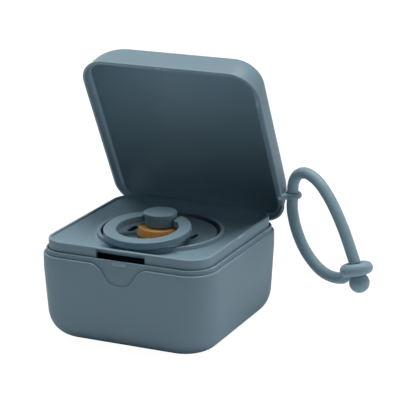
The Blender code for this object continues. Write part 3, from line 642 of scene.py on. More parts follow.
@dataclass
class Bowl:
    """A tub with one full soft edge from its walls into its flat end."""

    plan: Plan
    half_width: float
    half_depth: float
    height: float
    fillet: float
    power: float
    draft: float
    mouth_corner: float
    far_corner: float
    flat_corner: float
    base: float
    up: int
    steps: int

    def rings(self, levels: int = 4) -> list[Ring]:
        """Sections from the flat end to the mouth.

        Args:
            levels: how many of them are in the walls, above the soft edge.

        Returns:
            The rings.
        """
        rings = []
        for share in shares(self.steps):
            angle = math.pi / 2 * (1 - share)
            inset = self.fillet * (1 - max(math.cos(angle), 0.0) ** (2 / self.power))
            drop = self.height - self.fillet * (1 - math.sin(angle) ** (2 / self.power))
            rings.append(self.at(drop, inset))
        lowest = self.height - self.fillet
        return rings + [self.at(lowest * (1 - i / levels), 0.0) for i in range(1, levels + 1)]

    def at(self, drop: float, inset: float) -> Ring:
        """The section at a distance from the mouth.

        Args:
            drop: the distance.
            inset: how far it is drawn in.

        Returns:
            The ring.
        """
        corner = self.mouth_corner + (self.far_corner - self.mouth_corner) * drop / self.height
        corner += (self.flat_corner - corner) * inset / self.fillet
        total = inset + self.draft * drop / self.height
        return self.plan.rectangle(self.half_width - total, self.half_depth - total, corner,
                                   self.base + self.up * (self.height - drop))


@dataclass
class Hinge:
    """The hinge line behind the case, shared by the case and the lid."""

    y: float = 0.0401
    z: float = 0.0352
    knuckle_radius: float = 0.0021
    knuckle_half_span: float = 0.0120
    knuckle_end: float = 0.0204
    pin_radius: float = 0.0008
    gap: float = 0.0003
    edge: float = 0.00035
    open_angle: float = math.radians(62.7)

    def along(self, x: float) -> Vector:
        """The point of the hinge line at x."""
        return Vector((x, self.y, self.z))

    def cutter(self, radius: float, start: float, end: float,
               steps: int = BAR_FACES) -> Object:
        """A bar along the hinge line, wider than what turns in it by the gap."""
        return bar("cutter", radius + self.gap, self.along(start), self.along(end), steps)

    def opened(self) -> Matrix:
        """The turn that takes the closed lid to where it stands open."""
        shift = Matrix.Translation(self.along(0.0))
        return shift @ Matrix.Rotation(-self.open_angle, 4, "X") @ shift.inverted()


@dataclass
class Case:
    """The moulded tub with its locating band, thumb notch, latch wedge and knuckle."""

    hinge: Hinge
    half_width: float = 0.0380
    half_depth: float = 0.0388
    top: float = 0.0358
    corner: float = 0.0116
    corner_share: float = 1.0
    foot_corner: float = 0.0156
    foot_flat_corner: float = 0.0045
    foot_fillet: float = 0.0126
    foot_steps: int = 20
    hollow_steps: int = 10
    fillet_power: float = 2.48
    draft: float = 0.0003
    wall: float = 0.0019
    floor: float = 0.0022
    edge: float = 0.00045
    band_inset: float = 0.00106
    band_rise: float = 0.0020
    band_edge: float = 0.00028
    ledge_top: float = 0.0300
    ledge_width: float = 0.0014
    notch_half_width: float = 0.0124
    notch_depth: float = 0.00775
    notch_run: float = 0.01046
    notch_levels: tuple[float, ...] = (0.45, 0.72, 0.9)
    notch_shape: tuple[Point, ...] = (
        (0.0, 1.0), (0.14, 0.988), (0.27, 0.940), (0.355, 0.865), (0.43, 0.755), (0.49, 0.63),
        (0.565, 0.445), (0.63, 0.318), (0.705, 0.218), (0.77, 0.148), (0.87, 0.058),
        (0.95, 0.010), (1.0, 0.0))
    notch_taper: float = 0.6
    latch_half_width: float = 0.0036
    latch_proud: float = 0.00050
    latch_lift: float = 0.00020
    web_drop: float = 0.0052
    knuckle_wrap: tuple[float, float] = (150.0, -50.0)
    knuckle_steps: int = 32

    def plan(self) -> Plan:
        """The plan whose headings all the rounded-rectangle pieces share."""
        return Plan(self.half_width, self.half_depth, self.corner, self.notch_half_width)

    def dip(self, point: Vector) -> float:
        """How far the outer skin's edge drops for the thumb notch.

        Args:
            point: a plan point.

        Returns:
            The drop as a share of the notch's depth.
        """
        place = abs(point.x) / self.notch_half_width
        if point.y <= 0:
            for (near, high), (far, low) in zip(self.notch_shape, self.notch_shape[1:]):
                if place <= far:
                    return high + (low - high) * (place - near) / (far - near)
        return 0.0

    def build(self, plan: Plan, material: Material) -> None:
        """Build and dress the case.

        Args:
            plan: the shared headings.
            material: its plastic.
        """
        outer = Bowl(plan, self.half_width, self.half_depth, self.top - self.edge,
                     self.foot_fillet, self.fillet_power, self.draft, self.corner,
                     self.foot_corner, self.foot_flat_corner, base=0.0, up=1,
                     steps=self.foot_steps)
        rings = outer.rings(levels=0)
        rings += [self.dipped(plan, 0.0, self.top - self.edge - self.notch_run * (1 - level),
                              level) for level in self.notch_levels]
        rings += [self.dipped(plan, *point, 1.0) for point in arc(
            (self.edge, self.top - self.edge), self.edge, 180, 90, ROUND)]
        ledge = self.dipped(plan, self.band_inset, self.top, 1.0)
        for point in ledge:
            point.y -= self.band_inset * self.notch_taper * self.dip(point)
        rings += [ledge, plan.level(self, self.band_inset, self.top + self.latch_lift)]
        shoulder = self.top + self.band_rise - self.band_edge
        outside = arc((self.band_inset + self.band_edge, shoulder), self.band_edge, 180, 90, ROUND)
        rings += [self.latched(plan.level(self, *point), i / ROUND)
                  for i, point in enumerate(outside)]
        inner = self.wall + self.ledge_width
        inside = arc((self.wall - self.band_edge, shoulder), self.band_edge, 90, 0, ROUND)
        inside += [(self.wall, self.ledge_top), (inner, self.ledge_top)]
        rings += [plan.level(self, *point) for point in inside]
        hollow = Bowl(plan, self.half_width - inner, self.half_depth - inner,
                      self.ledge_top - self.ledge_width - self.floor,
                      self.foot_fillet - self.wall, self.fillet_power, self.draft,
                      self.corner - inner, self.foot_corner - inner, self.foot_flat_corner,
                      base=self.floor, up=1, steps=self.hollow_steps)
        case = skin("case_wall", rings + hollow.rings()[::-1])
        hinge = self.hinge
        for side in (-1, 1):
            combined(case, hinge.cutter(hinge.knuckle_radius, side * hinge.knuckle_half_span,
                                        side * (hinge.knuckle_end + 2 * hinge.gap)))
        for piece in (case, self.knuckle()):
            dress(piece, material, Body.CASE, "case_shell")

    def dipped(self, plan: Plan, inset: float, height: float, share: float) -> Ring:
        """A section that follows the notch downwards.

        Args:
            plan: the shared headings.
            inset: how far it is drawn in.
            height: its Z beside the notch.
            share: how much of the notch's depth it takes.

        Returns:
            The ring.
        """
        ring = plan.level(self, inset, height)
        for point in ring:
            point.z -= self.notch_depth * self.dip(point) * share
        return ring

    def knuckle(self) -> Object:
        """The middle knuckle with the web that ties it to the back wall.

        Returns:
            The piece.
        """
        hinge = self.hinge
        wall = self.half_depth - self.band_inset
        outline = arc((hinge.y, hinge.z), hinge.knuckle_radius, *self.knuckle_wrap,
                      self.knuckle_steps)
        outline += [(wall, hinge.z - self.web_drop), (wall, hinge.z)]
        body = slab("case_knuckle", outline, hinge.knuckle_half_span - hinge.gap, UPRIGHT,
                    bevel=hinge.edge / 2, bevel_steps=2)
        return combined(body, hinge.cutter(hinge.pin_radius, -hinge.knuckle_end,
                                           hinge.knuckle_end, PIN_FACES))

    def latched(self, ring: Ring, share: float) -> Ring:
        """A section of the band with the snap wedge's sloping face worked into its front.

        Args:
            ring: the plain section.
            share: where it crosses the slope, from 0 at its foot to 1 at the band's top.

        Returns:
            The same ring.
        """
        outer = -(self.half_depth - self.band_inset + self.latch_proud)
        inner = -(self.half_depth - self.wall + self.band_edge)
        crest, top = self.top + 2 * self.latch_lift, self.top + self.band_rise
        for point in ring:
            if point.y < 0 and abs(point.x) < self.latch_half_width:
                point.y = outer + (inner - outer) * share
                point.z = crest + (top - crest) * share
        return ring


@dataclass
class Lid:
    """The deep lid with its mouth rim, inner lip, knuckles and eyelet, drawn shut, then opened."""

    hinge: Hinge
    half_width: float = 0.0389
    half_depth: float = 0.0393
    height: float = 0.0232
    fillet: float = 0.0228
    power: float = 2.21
    corner: float = 0.0112
    corner_share: float = 1.0
    crown_corner: float = 0.0119
    crown_flat_corner: float = 0.0055
    crown_steps: int = 26
    draft: float = 0.0004
    wall: float = 0.0014
    bead: float = 0.0007
    bead_height: float = 0.0012
    bead_slope: float = 0.0004
    bead_steps: int = 5
    edge: float = 0.0003
    mouth: float = 0.0361
    rim_width: float = 0.0011
    rim_round: float = 0.00015
    rim_steps: int = 3
    groove: tuple[Point, ...] = ((0.10, 0.30), (0.40, 0.65), (0.80, 0.90), (1.0, 1.0))
    lip_depth: float = 0.0019
    lip_side: float = 0.00292
    lip_front: float = 0.0024
    lip_corner: float = 0.0062
    lip_round: float = 0.00025
    lip_start: float = 0.5
    lip_thickness: float = 0.0011
    lip_back: tuple[Point, ...] = ((1.0, 1.0), (0.75, 1.3))
    lip_behind: float = 2.0
    eyelet_x: float = 0.0422
    eyelet_y: float = 0.0271
    eyelet_z: float = 0.0409
    eyelet_lean: float = math.radians(25.0)
    eyelet_hole: float = 0.0028
    eyelet_wall: float = 0.0010
    eyelet_thickness: float = 0.0024
    eyelet_round: float = 0.0010
    eyelet_steps: int = 32
    hole_faces: int = 48
    eyelet_flare: float = 0.0020
    eyelet_root: float = 0.00049
    root_flare: float = 0.0026
    flare_steps: int = 6

    def build(self, plan: Plan, material: Material) -> None:
        """Build and dress the lid.

        Args:
            plan: the shared headings.
            material: its plastic.
        """
        crown = self.mouth + self.height
        outer = Bowl(plan, self.half_width, self.half_depth,
                     self.height - self.bead_height, self.fillet - self.bead_height,
                     self.power, self.draft, self.corner, self.crown_corner,
                     self.crown_flat_corner, base=crown, up=-1, steps=self.crown_steps)
        inner = Bowl(plan, self.half_width - self.wall, self.half_depth - self.wall,
                     self.height - self.wall - self.edge, self.fillet - self.wall - self.edge,
                     self.power, self.draft, self.corner - self.wall,
                     self.crown_corner - self.wall, self.crown_flat_corner,
                     base=crown - self.wall, up=-1, steps=self.crown_steps)
        back = self.mouth + self.lip_depth + self.lip_thickness * self.lip_behind
        hollow = [ring for ring in inner.rings()[::-1] if ring[0].z > back]
        lid = skin("lid_wall", outer.rings() + self.mouth_rings(plan) + hollow)
        hinge = self.hinge
        combined(lid, hinge.cutter(hinge.knuckle_radius, -hinge.knuckle_half_span,
                                   hinge.knuckle_half_span))
        pieces = [lid, self.eyelet()]
        near, far = hinge.knuckle_half_span + hinge.gap, hinge.knuckle_end
        for name, start, end in (("left", -far, -near), ("right", near, far)):
            knuckle = bar(f"lid_knuckle_{name}", hinge.knuckle_radius, hinge.along(start),
                          hinge.along(end), edge=hinge.edge)
            pieces.append(combined(knuckle, hinge.cutter(
                hinge.pin_radius, start - OVERRUN, end + OVERRUN, PIN_FACES)))
        for piece in pieces:
            piece.data.transform(hinge.opened())
            dress(piece, material, Body.LID, "lid_shell")

    def mouth_rings(self, plan: Plan) -> list[Ring]:
        """Sections round the mouth: bead, rim, groove and the inner lip set back from it.

        Args:
            plan: the shared headings.

        Returns:
            The rings from the bead's upper side to the back of the inner lip.
        """
        points = [(eased(0.0, -self.bead, share), self.bead_height - self.bead_slope * share)
                  for share in shares(self.bead_steps)[1:]]
        points += arc((self.edge - self.bead, self.edge), self.edge, 180, 270,
                      self.bead_steps)
        rim = self.rim_width - self.bead
        points += arc((rim - self.rim_round, self.rim_round), self.rim_round, 270, 360,
                      self.rim_steps)
        points += [(rim + (self.wall - rim) * across, self.lip_depth * down)
                   for across, down in self.groove]
        rings = [plan.level(self, inset, self.mouth + rise) for inset, rise in points]
        side, front = self.lip_side - self.wall, self.lip_front - self.wall
        flat = 1 - self.lip_round / side
        lip = [(self.lip_start * flat, self.lip_depth)]
        lip += [(flat + x / side, y) for x, y in arc(
            (0.0, self.lip_depth + self.lip_round), self.lip_round, 270, 360, ROUND)]
        lip += [(share, self.lip_depth + self.lip_thickness * rise)
                for share, rise in self.lip_back]
        corner = self.corner - self.wall
        return rings + [plan.rectangle(
            self.half_width - self.wall - side * share,
            self.half_depth - self.wall - front * share,
            corner + (self.lip_corner - corner) * share, self.mouth + rise)
            for share, rise in lip]

    def eyelet(self) -> Object:
        """The flat loop on the right wall, flared where it leaves the wall.

        Returns:
            The piece.
        """
        outer = self.eyelet_hole + self.eyelet_wall
        wall = self.half_width - self.eyelet_x
        half = [(wall - self.eyelet_root, outer + self.root_flare)]
        for share in shares(self.flare_steps):
            half.append((wall * (1 - share), outer + self.eyelet_flare
                         * (1 - math.sin(math.pi / 2 * share))))
        outline = [(x, -y) for x, y in half] + arc(
            ORIGIN, outer, -90, 90, self.eyelet_steps)[1:-1]
        lean = Matrix.Rotation(math.pi / 2 - self.eyelet_lean, 4, "X")
        centre = self.eyelet_centre()
        loop = slab("lid_eyelet", outline + half[::-1], self.eyelet_thickness / 2,
                    Matrix.Translation(centre) @ lean, bevel=self.eyelet_round, bevel_steps=5)
        way = (lean @ Vector((0, 0, self.eyelet_thickness))).to_3d()
        return combined(loop, bar("eyelet_hole", self.eyelet_hole, centre - way, centre + way,
                                  self.hole_faces))

    def eyelet_centre(self) -> Vector:
        """Where the strap passes the eyelet, with the lid shut."""
        return Vector((self.eyelet_x, self.eyelet_y, self.eyelet_z))


@dataclass
class Tray:
    """The lift-out tray: skirt, low rim, dished plate, round well and finger slot."""

    half_width: float = 0.0358
    half_depth: float = 0.0366
    corner: float = 0.0094
    corner_share: float = 0.8
    skirt_bottom: float = 0.0303
    rim_top: float = 0.0419
    wall: float = 0.0014
    rim_width: float = 0.0012
    rim_rise: float = 0.0008
    rim_round: float = 0.00050
    rim_steps: int = 5
    rim_inner_round: float = 0.00010
    rim_inner_steps: int = 3
    rim_fillet: float = 0.00012
    rim_slope: float = 0.000144
    dish: float = 0.0024
    dish_power: float = 1.7
    plate: float = 0.0015
    plate_end: float = 0.0007
    plate_steps: int = 12
    lip_radius: float = 0.0260
    lip_foot: tuple[Point, ...] = ((0.0004, 0.00006), (0.0002, 0.00022), (0.0001, 0.0006))
    lip_top: float = 0.0405
    lip_round: float = 0.00022
    lip_drop: float = 0.0006
    well_radius: float = 0.0246
    well_relief: float = 0.0006
    well_floor: float = 0.0350
    well_corner: float = 0.0005
    well_floor_bottom: float = 0.0337
    rest_radius: float = 0.0200
    rest_width: float = 0.0011
    rest_top: float = 0.0369
    under_width: float = 0.0016
    slot_half_width: float = 0.0108
    slot_reach: float = 0.0022
    slot_lip: float = 0.0003
    slot_slope: float = 0.0013
    slot_drop: float = 0.0002

    def build(self, plan: Plan, material: Material) -> None:
        """Build and dress the tray.

        Args:
            plan: the shared headings.
            material: its plastic.
        """
        top = self.rim_top - self.rim_rise
        low = top - self.dish
        rim = [(self.wall, self.skirt_bottom), (0.0, self.skirt_bottom),
               (0.0, 0.5 * (self.skirt_bottom + self.rim_top))]
        rim += arc((self.rim_round, self.rim_top - self.rim_round), self.rim_round, 180, 90,
                   self.rim_steps)
        rim += arc((self.rim_width - self.rim_inner_round, self.rim_top - self.rim_inner_round),
                   self.rim_inner_round, 90, 0, self.rim_inner_steps)
        rim += arc((self.rim_width + self.rim_slope, top + self.rim_fillet), self.rim_fillet,
                   180, 270, ROUND)
        rings = [plan.level(self, *point) for point in rim]
        outer, target = rings[-1], plan.circle(self.lip_radius + self.plate_end, low)
        for share in shares(self.plate_steps)[1:]:
            ring = [a.lerp(b, share) for a, b in zip(outer, target)]
            for point in ring:
                point.z = top - self.dish * (1 - (1 - share) ** self.dish_power)
            rings.append(ring)
        round_, wide = self.lip_round, self.well_radius + self.well_relief
        rest = self.rest_radius + self.rest_width
        well = [(self.lip_radius + out, low + up) for out, up in self.lip_foot]
        well += arc((self.lip_radius - round_, self.lip_top - round_), round_, 0, 90, ROUND)
        well += arc((self.well_radius + round_, self.lip_top - round_), round_, 90, 180, ROUND)
        well += [(self.well_radius, self.lip_top - self.lip_drop),
                 (wide, self.lip_top - self.lip_drop - self.well_relief / 2),
                 (wide, self.well_floor + self.well_corner),
                 (wide - self.well_corner, self.well_floor),
                 (rest, self.well_floor), (rest, self.rest_top),
                 (self.rest_radius, self.rest_top),
                 (self.rest_radius, self.well_floor_bottom),
                 (self.lip_radius, self.well_floor_bottom),
                 (self.lip_radius, low - self.plate),
                 (self.lip_radius + self.under_width, low - self.plate)]
        rings += [plan.circle(*point) for point in well]
        rings.append(plan.level(self, self.wall, top - self.plate))
        tray = combined(skin("tray_body", rings, Ends.JOINED), self.slot_cutter())
        dress(tray, material, Body.TRAY, "insert_tray")

    def slot_cutter(self) -> Object:
        """The body cut out of the front for a fingertip, with its sloping ceiling.

        Returns:
            The cutter.
        """
        front, top = -self.half_depth, self.rim_top - self.slot_lip
        bottom, ceiling = self.skirt_bottom - OVERRUN, top - self.slot_slope
        outline = [(front - OVERRUN, bottom), (front - OVERRUN, top), (front, top),
                   (front + self.wall, ceiling),
                   (front + self.slot_reach, ceiling - self.slot_drop),
                   (front + self.slot_reach, bottom)]
        return slab("finger_slot", outline, self.slot_half_width, UPRIGHT)


@dataclass
class Pacifier:
    """The seated pacifier: dished shield, rubber teat, plug and ring handle."""

    shield_radius: float = 0.0234
    shield_edge_top: float = 0.0396
    shield_dish: float = 0.0022
    shield_thickness: float = 0.0020
    shield_hole: float = 0.0062
    shield_steps: int = 14
    shield_faces: int = 128
    roll_end: float = 88.0
    roll_steps: int = 10
    vent_place: float = 0.0138
    vent_set_back: float = 0.0020
    vent_half_length: float = 0.0036
    vent_half_width: float = 0.0012
    vent_steps: int = 12
    vent_undercut: float = 1.5
    vent_lip: float = 0.0002
    vent_cut: float = 0.0050
    flange_radius: float = 0.0099
    flange_round: float = 0.0009
    flange_top: float = 0.0420
    flange_top_radius: float = 0.0090
    flange_top_round: float = 0.0008
    flange_slope: float = 18.0
    flange_steps: int = 7
    flange_top_steps: int = 6
    neck_radius: float = 0.0058
    neck_waist: float = 0.97
    bulb_radius: float = 0.0086
    bulb_run: float = 0.002
    bulb_steps: int = 20
    bulb_inner_steps: int = 14
    teat_length: float = 0.0290
    teat_wall: float = 0.0016
    knob_top: float = 0.0481
    knob_top_radius: float = 0.0069
    knob_foot_radius: float = 0.0062
    knob_crown: tuple[float, float] = (0.00004, 0.0001)
    knob_crown_end: float = 86.0
    knob_steps: int = 8
    knob_round: float = 0.0006
    knob_foot_round: float = 0.0004
    plug_depth: float = 0.0070
    ring_outer: float = 0.01775
    ring_inner: float = 0.0126
    ring_pivot_z: float = 0.0447
    ring_tilt: float = math.radians(4.2)
    ring_play: float = 0.0004
    ring_thickness: float = 0.0029
    ring_round: float = 0.00042
    ring_set_back: float = 0.0130
    ring_steps: int = 72
    outer_ends: tuple[float, float] = (28.0, 30.0)
    inner_ends: tuple[float, float] = (44.6, 46.5)
    right_end: tuple[Point, ...] = (
        (0.00790, 0.01565), (0.00745, 0.01548), (0.00708, 0.01508), (0.00685, 0.01440),
        (0.00677, 0.01320), (0.00680, 0.01150), (0.00690, 0.01020), (0.00712, 0.00968),
        (0.00755, 0.00944), (0.00820, 0.00932))
    left_end: tuple[Point, ...] = (
        (-0.00840, 0.01540), (-0.00795, 0.01518), (-0.00758, 0.01472), (-0.00740, 0.01400),
        (-0.00735, 0.01300), (-0.00738, 0.01150), (-0.00748, 0.01040), (-0.00772, 0.00996),
        (-0.00815, 0.00974), (-0.00866, 0.00940))
    trunnion_radius: float = 0.0009
    trunnion_tip: float = 0.0045
    bore_faces: int = 32
    gap: float = 0.0003

    def dish(self, radius: float) -> float:
        """Height of the shield's upper face at a radius."""
        return self.shield_edge_top - self.shield_dish * (1 - (radius / self.shield_radius) ** 2)

    def pivot(self, x: float) -> Vector:
        """The point of the ring's pivot line at x."""
        return Vector((x, 0.0, self.ring_pivot_z))

    def build(self, plastic: Material, shield: Material, rubber: Material) -> None:
        """Build and dress the pacifier.

        Args:
            plastic: finish of the plug and the ring.
            shield: finish of the shield, its satin painted darker for the shade in the well.
            rubber: finish of the teat.
        """
        dress(self.shield(), shield, Body.PACIFIER, "pacifier_shield")
        dress(self.teat(), rubber, Body.PACIFIER, "pacifier_teat")
        dress(self.knob(), plastic, Body.PACIFIER, "pacifier_knob")
        dress(self.ring(), plastic, Body.HANDLE, "pacifier_ring")

    def shield(self) -> Object:
        """The round shield with a rolled edge and two vent slots.

        Returns:
            The piece.
        """
        roll = self.shield_thickness / 2
        inner, outer = self.shield_hole, self.shield_radius - roll
        radii = [inner + (outer - inner) * share for share in shares(self.shield_steps)[:-1]]
        upper = [(r, self.dish(r)) for r in radii]
        profile = upper + arc((outer, self.dish(outer) - roll), roll, self.roll_end,
                              -self.roll_end, self.roll_steps)
        profile += [(r, z - self.shield_thickness) for r, z in upper[::-1]]
        body = turned("pacifier_guard", profile, self.shield_faces)
        half, reach = self.vent_half_width, self.vent_half_length - self.vent_half_width
        outline = arc((0.0, reach), half, 0, 180, self.vent_steps)
        outline += arc((0.0, -reach), half, 180, 360, self.vent_steps)
        for side in (-1, 1):
            for grow, drop in ((1.0, 0.0), (self.vent_undercut, self.vent_cut + self.vent_lip)):
                place = Matrix.Translation((side * self.vent_place, self.vent_set_back,
                                            self.dish(self.vent_place) - drop))
                combined(body, slab("vent", [(x * grow, y * (grow + 1) / 2)
                                             for x, y in outline], self.vent_cut, place))
        return body

    def teat(self) -> Object:
        """The rubber teat: rounded flange, neck and hollow cherry-shaped bulb.

        Returns:
            The piece.
        """
        under = self.dish(self.shield_hole) - self.shield_thickness
        tip = under - self.teat_length
        bulb = (0.0, tip + self.bulb_radius)
        bottom = self.dish(self.flange_radius) + self.gap
        bore, hollow = self.neck_radius - self.teat_wall, self.bulb_radius - self.teat_wall
        outside = math.degrees(math.acos(self.neck_radius / self.bulb_radius))
        inside = math.degrees(math.acos(bore / hollow))
        crown, foot = self.flange_top_round, self.flange_round
        profile = [(bore, self.flange_top)]
        profile += arc((self.flange_top_radius - crown, self.flange_top - crown), crown,
                       90, self.flange_slope, self.flange_top_steps)
        profile += arc((self.flange_radius - foot, bottom + foot), foot, self.flange_slope,
                       -90, self.flange_steps)
        profile += [(self.neck_radius, bottom), (self.neck_radius, under - self.bulb_radius),
                    (self.neck_radius * self.neck_waist, (under + bulb[1]) / 2 - self.bulb_run)]
        profile += arc(bulb, self.bulb_radius, outside, -90, self.bulb_steps)[:-1]
        profile += [(0.0, tip), (0.0, bulb[1] - hollow)]
        profile += arc(bulb, hollow, -90, inside, self.bulb_inner_steps)[1:]
        return turned("pacifier_nipple", profile)

    def knob(self) -> Object:
        """The plug: head with a soft crown, stem, and the cross bore for the ring's pins.

        Returns:
            The piece.
        """
        bottom, crown, foot = self.flange_top + self.gap, self.knob_round, self.knob_foot_round
        plug = self.neck_radius - self.teat_wall - self.gap
        middle, edge = self.knob_crown
        profile = [(0.0, self.knob_top), (self.knob_top_radius / 2, self.knob_top - middle)]
        profile += arc((self.knob_top_radius - crown, self.knob_top - crown - edge), crown,
                       self.knob_crown_end, 0, self.knob_steps)
        profile += arc((self.knob_foot_radius - foot, bottom + foot), foot, 0, -90, ROUND)
        profile += [(plug, bottom), (plug, bottom - self.plug_depth),
                    (0.0, bottom - self.plug_depth)]
        knob = turned("pacifier_plug", profile)
        for side in (-1, 1):
            combined(knob, bar("bore", self.trunnion_radius + self.gap,
                               self.pivot(side * (self.trunnion_tip - self.gap)),
                               self.pivot(side * (self.knob_top_radius + OVERRUN)),
                               self.bore_faces))
        return knob

    def ring(self) -> Object:
        """The flat open ring with hooked, rounded ends, on its two pins.

        Returns:
            The piece.
        """
        (right, left), (right_in, left_in) = self.outer_ends, self.inner_ends
        outline = arc(ORIGIN, self.ring_outer, 90 - right, left - 270, self.ring_steps)
        outline += self.left_end
        outline += arc(ORIGIN, self.ring_inner, left_in - 270, 90 - right_in, self.ring_steps)
        outline += self.right_end[::-1]
        place = Matrix.Translation(self.pivot(0.0)) @ Matrix.Rotation(self.ring_tilt, 4, "X")
        ring = slab("pacifier_handle", [(x + self.ring_play, y - self.ring_set_back)
                                        for x, y in outline], self.ring_thickness / 2, place,
                    bevel=self.ring_round, bevel_steps=5)
        reach = self.ring_outer * math.sin(math.radians(right)) + self.trunnion_radius
        for side in (-1, 1):
            pin = bar("pin", self.trunnion_radius,
                      self.pivot(side * (self.trunnion_tip + self.gap) + self.ring_play),
                      self.pivot(side * reach + self.ring_play), PIN_FACES)
            combined(ring, pin, Combine.JOIN)
        return ring


@dataclass
class Strap:
    """The silicone strap: a cord looped through the eyelet, closed by a ball in a ring."""

    eyelet: Vector
    cord_radius: float = 0.0024
    heading: float = math.radians(-25.0)
    clasp: Point = (0.03806, 0.02658)
    ring_tilt: float = math.radians(15.0)
    neck_tilt: float = math.radians(19.0)
    ring_radius: float = 0.0043
    tube_radius: float = 0.0025
    tube_steps: int = 28
    clasp_faces: int = 64
    ball_radius: float = 0.0042
    ball_steps: int = 24
    ball_drop: float = 0.0057
    neck_radius: float = 0.0017
    neck: float = 0.0022
    neck_flare: float = 0.0003
    flare_steps: int = 8
    upper: tuple[Point, ...] = (
        (0.00000, 0.04940), (0.00000, 0.05150), (0.00015, 0.05340), (0.00075, 0.05560),
        (0.00236, 0.05814), (0.00460, 0.05965), (0.00690, 0.06035), (0.00952, 0.06031),
        (0.01315, 0.05926), (0.01645, 0.05744), (0.01939, 0.05509), (0.02271, 0.05181),
        (0.02578, 0.04807), (0.02875, 0.04386), (0.03109, 0.04014), (0.03341, 0.03600),
        (0.03500, 0.03292))
    lower: tuple[Point, ...] = (
        (0.00000, 0.04940), (-0.00015, 0.04730), (-0.00025, 0.04500), (0.00003, 0.04185),
        (0.00155, 0.03692), (0.00371, 0.03262), (0.00661, 0.02849), (0.01016, 0.02502),
        (0.01413, 0.02228), (0.01812, 0.02048), (0.02212, 0.01970), (0.02616, 0.01974),
        (0.02860, 0.02020))
    stem: tuple[Point, ...] = (
        (0.02860, 0.02020), (0.03010, 0.02055), (0.03130, 0.02130), (0.03250, 0.02260),
        (0.03335, 0.02385), (0.03385, 0.02520))

    def outward(self) -> Vector:
        """Level direction from the eyelet along the loop."""
        return Vector((math.cos(self.heading), math.sin(self.heading), 0.0))

    def normal(self) -> Vector:
        """Level direction square to the loop."""
        return Vector((-math.sin(self.heading), math.cos(self.heading), 0.0))

    def place(self, point: Point) -> Vector:
        """A loop point, given as distance out and height, in the frame."""
        return Vector((self.eyelet.x, self.eyelet.y, point[1])) + self.outward() * point[0]

    def curved(self, points: Sequence[Point], parts: int = 6) -> list[Vector]:
        """Points along a smooth curve through a route.

        Args:
            points: the route.
            parts: pieces between two points.

        Returns:
            The points in the frame.
        """
        places = [self.place(p) for p in points]
        places = [2 * places[0] - places[1]] + places + [2 * places[-1] - places[-2]]
        fine = []
        for a, b, c, d in zip(places, places[1:], places[2:], places[3:]):
            for t in shares(parts)[:-1]:
                fine.append(0.5 * (2 * b + (c - a) * t + (2 * a - 5 * b + 4 * c - d) * t ** 2
                                   + (3 * b - a - 3 * c + d) * t ** 3))
        return fine + [places[-2]]

    def cord(self, name: str, route: Sequence[Vector]) -> Curve:
        """One stretch of the cord as a curve with a round section.

        Args:
            name: the piece's name.
            route: its centre line.

        Returns:
            The curve.
        """
        curve = traced(name, route, dimensions="3D", bevel_depth=self.cord_radius,
                       bevel_resolution=8, use_fill_caps=True)
        curve.splines[0].use_smooth = True
        return curve

    def turn(self, tilt: float) -> Matrix:
        """The frame whose Z points down the clasp at a tilt."""
        way = self.outward() * math.sin(tilt) - Vector((0.0, 0.0, math.cos(tilt)))
        return Matrix.Translation(self.place(self.clasp)) @ way.to_track_quat(
            "Z", "Y").to_matrix().to_4x4()

    def build(self, material: Material) -> None:
        """Args:
            material: its silicone.
        """
        neck_top = (self.clasp[0] - math.sin(self.neck_tilt) * self.neck,
                    self.clasp[1] + math.cos(self.neck_tilt) * self.neck)
        ring, ball = self.ring_end(), self.ball_end()
        dress(ring, material, Body.STRAP, "strap_ring_end")
        dress(ball, material, Body.STRAP, "strap_ball_end")
        for name, points, end, node in (
                ("strap_upper", self.upper + (neck_top,), ball, "strap_cord_upper"),
                ("strap_lower", self.lower, ring, "strap_cord_lower")):
            route = self.curved(points)
            piece = dress(shown(name, self.cord(name, route)), material, Body.STRAP,
                          node)
            tuple(self.eyelet)

    def ring_end(self) -> Object:
        """The ring moulded on one end of the cord.

        Returns:
            The piece.
        """
        section = arc((self.ring_radius, 0.0), self.tube_radius, 0, 360,
                      self.tube_steps)[:-1]
        ring = turned("strap_ring", section, self.clasp_faces, self.turn(self.ring_tilt))
        return combined(ring, solid(self.cord("strap_stem", self.curved(self.stem))),
                        Combine.JOIN)

    def ball_end(self) -> Object:
        """The ball on its slim neck, flared to the cord's size at the top.

        Returns:
            The piece.
        """
        profile = [(0.0, self.neck)]
        for share in shares(self.flare_steps):
            profile.append((eased(self.cord_radius, self.neck_radius, share),
                            self.neck - self.neck_flare * share))
        first = math.degrees(math.asin(self.neck_radius / self.ball_radius))
        profile += arc((0.0, -self.ball_drop), self.ball_radius, 90 - first, -90,
                       self.ball_steps)[:-1]
        profile.append((0.0, -self.ball_drop - self.ball_radius))
        return turned("strap_ball", profile, self.clasp_faces,
                      self.turn(self.neck_tilt) @ Matrix.Rotation(math.pi, 4, "X"))


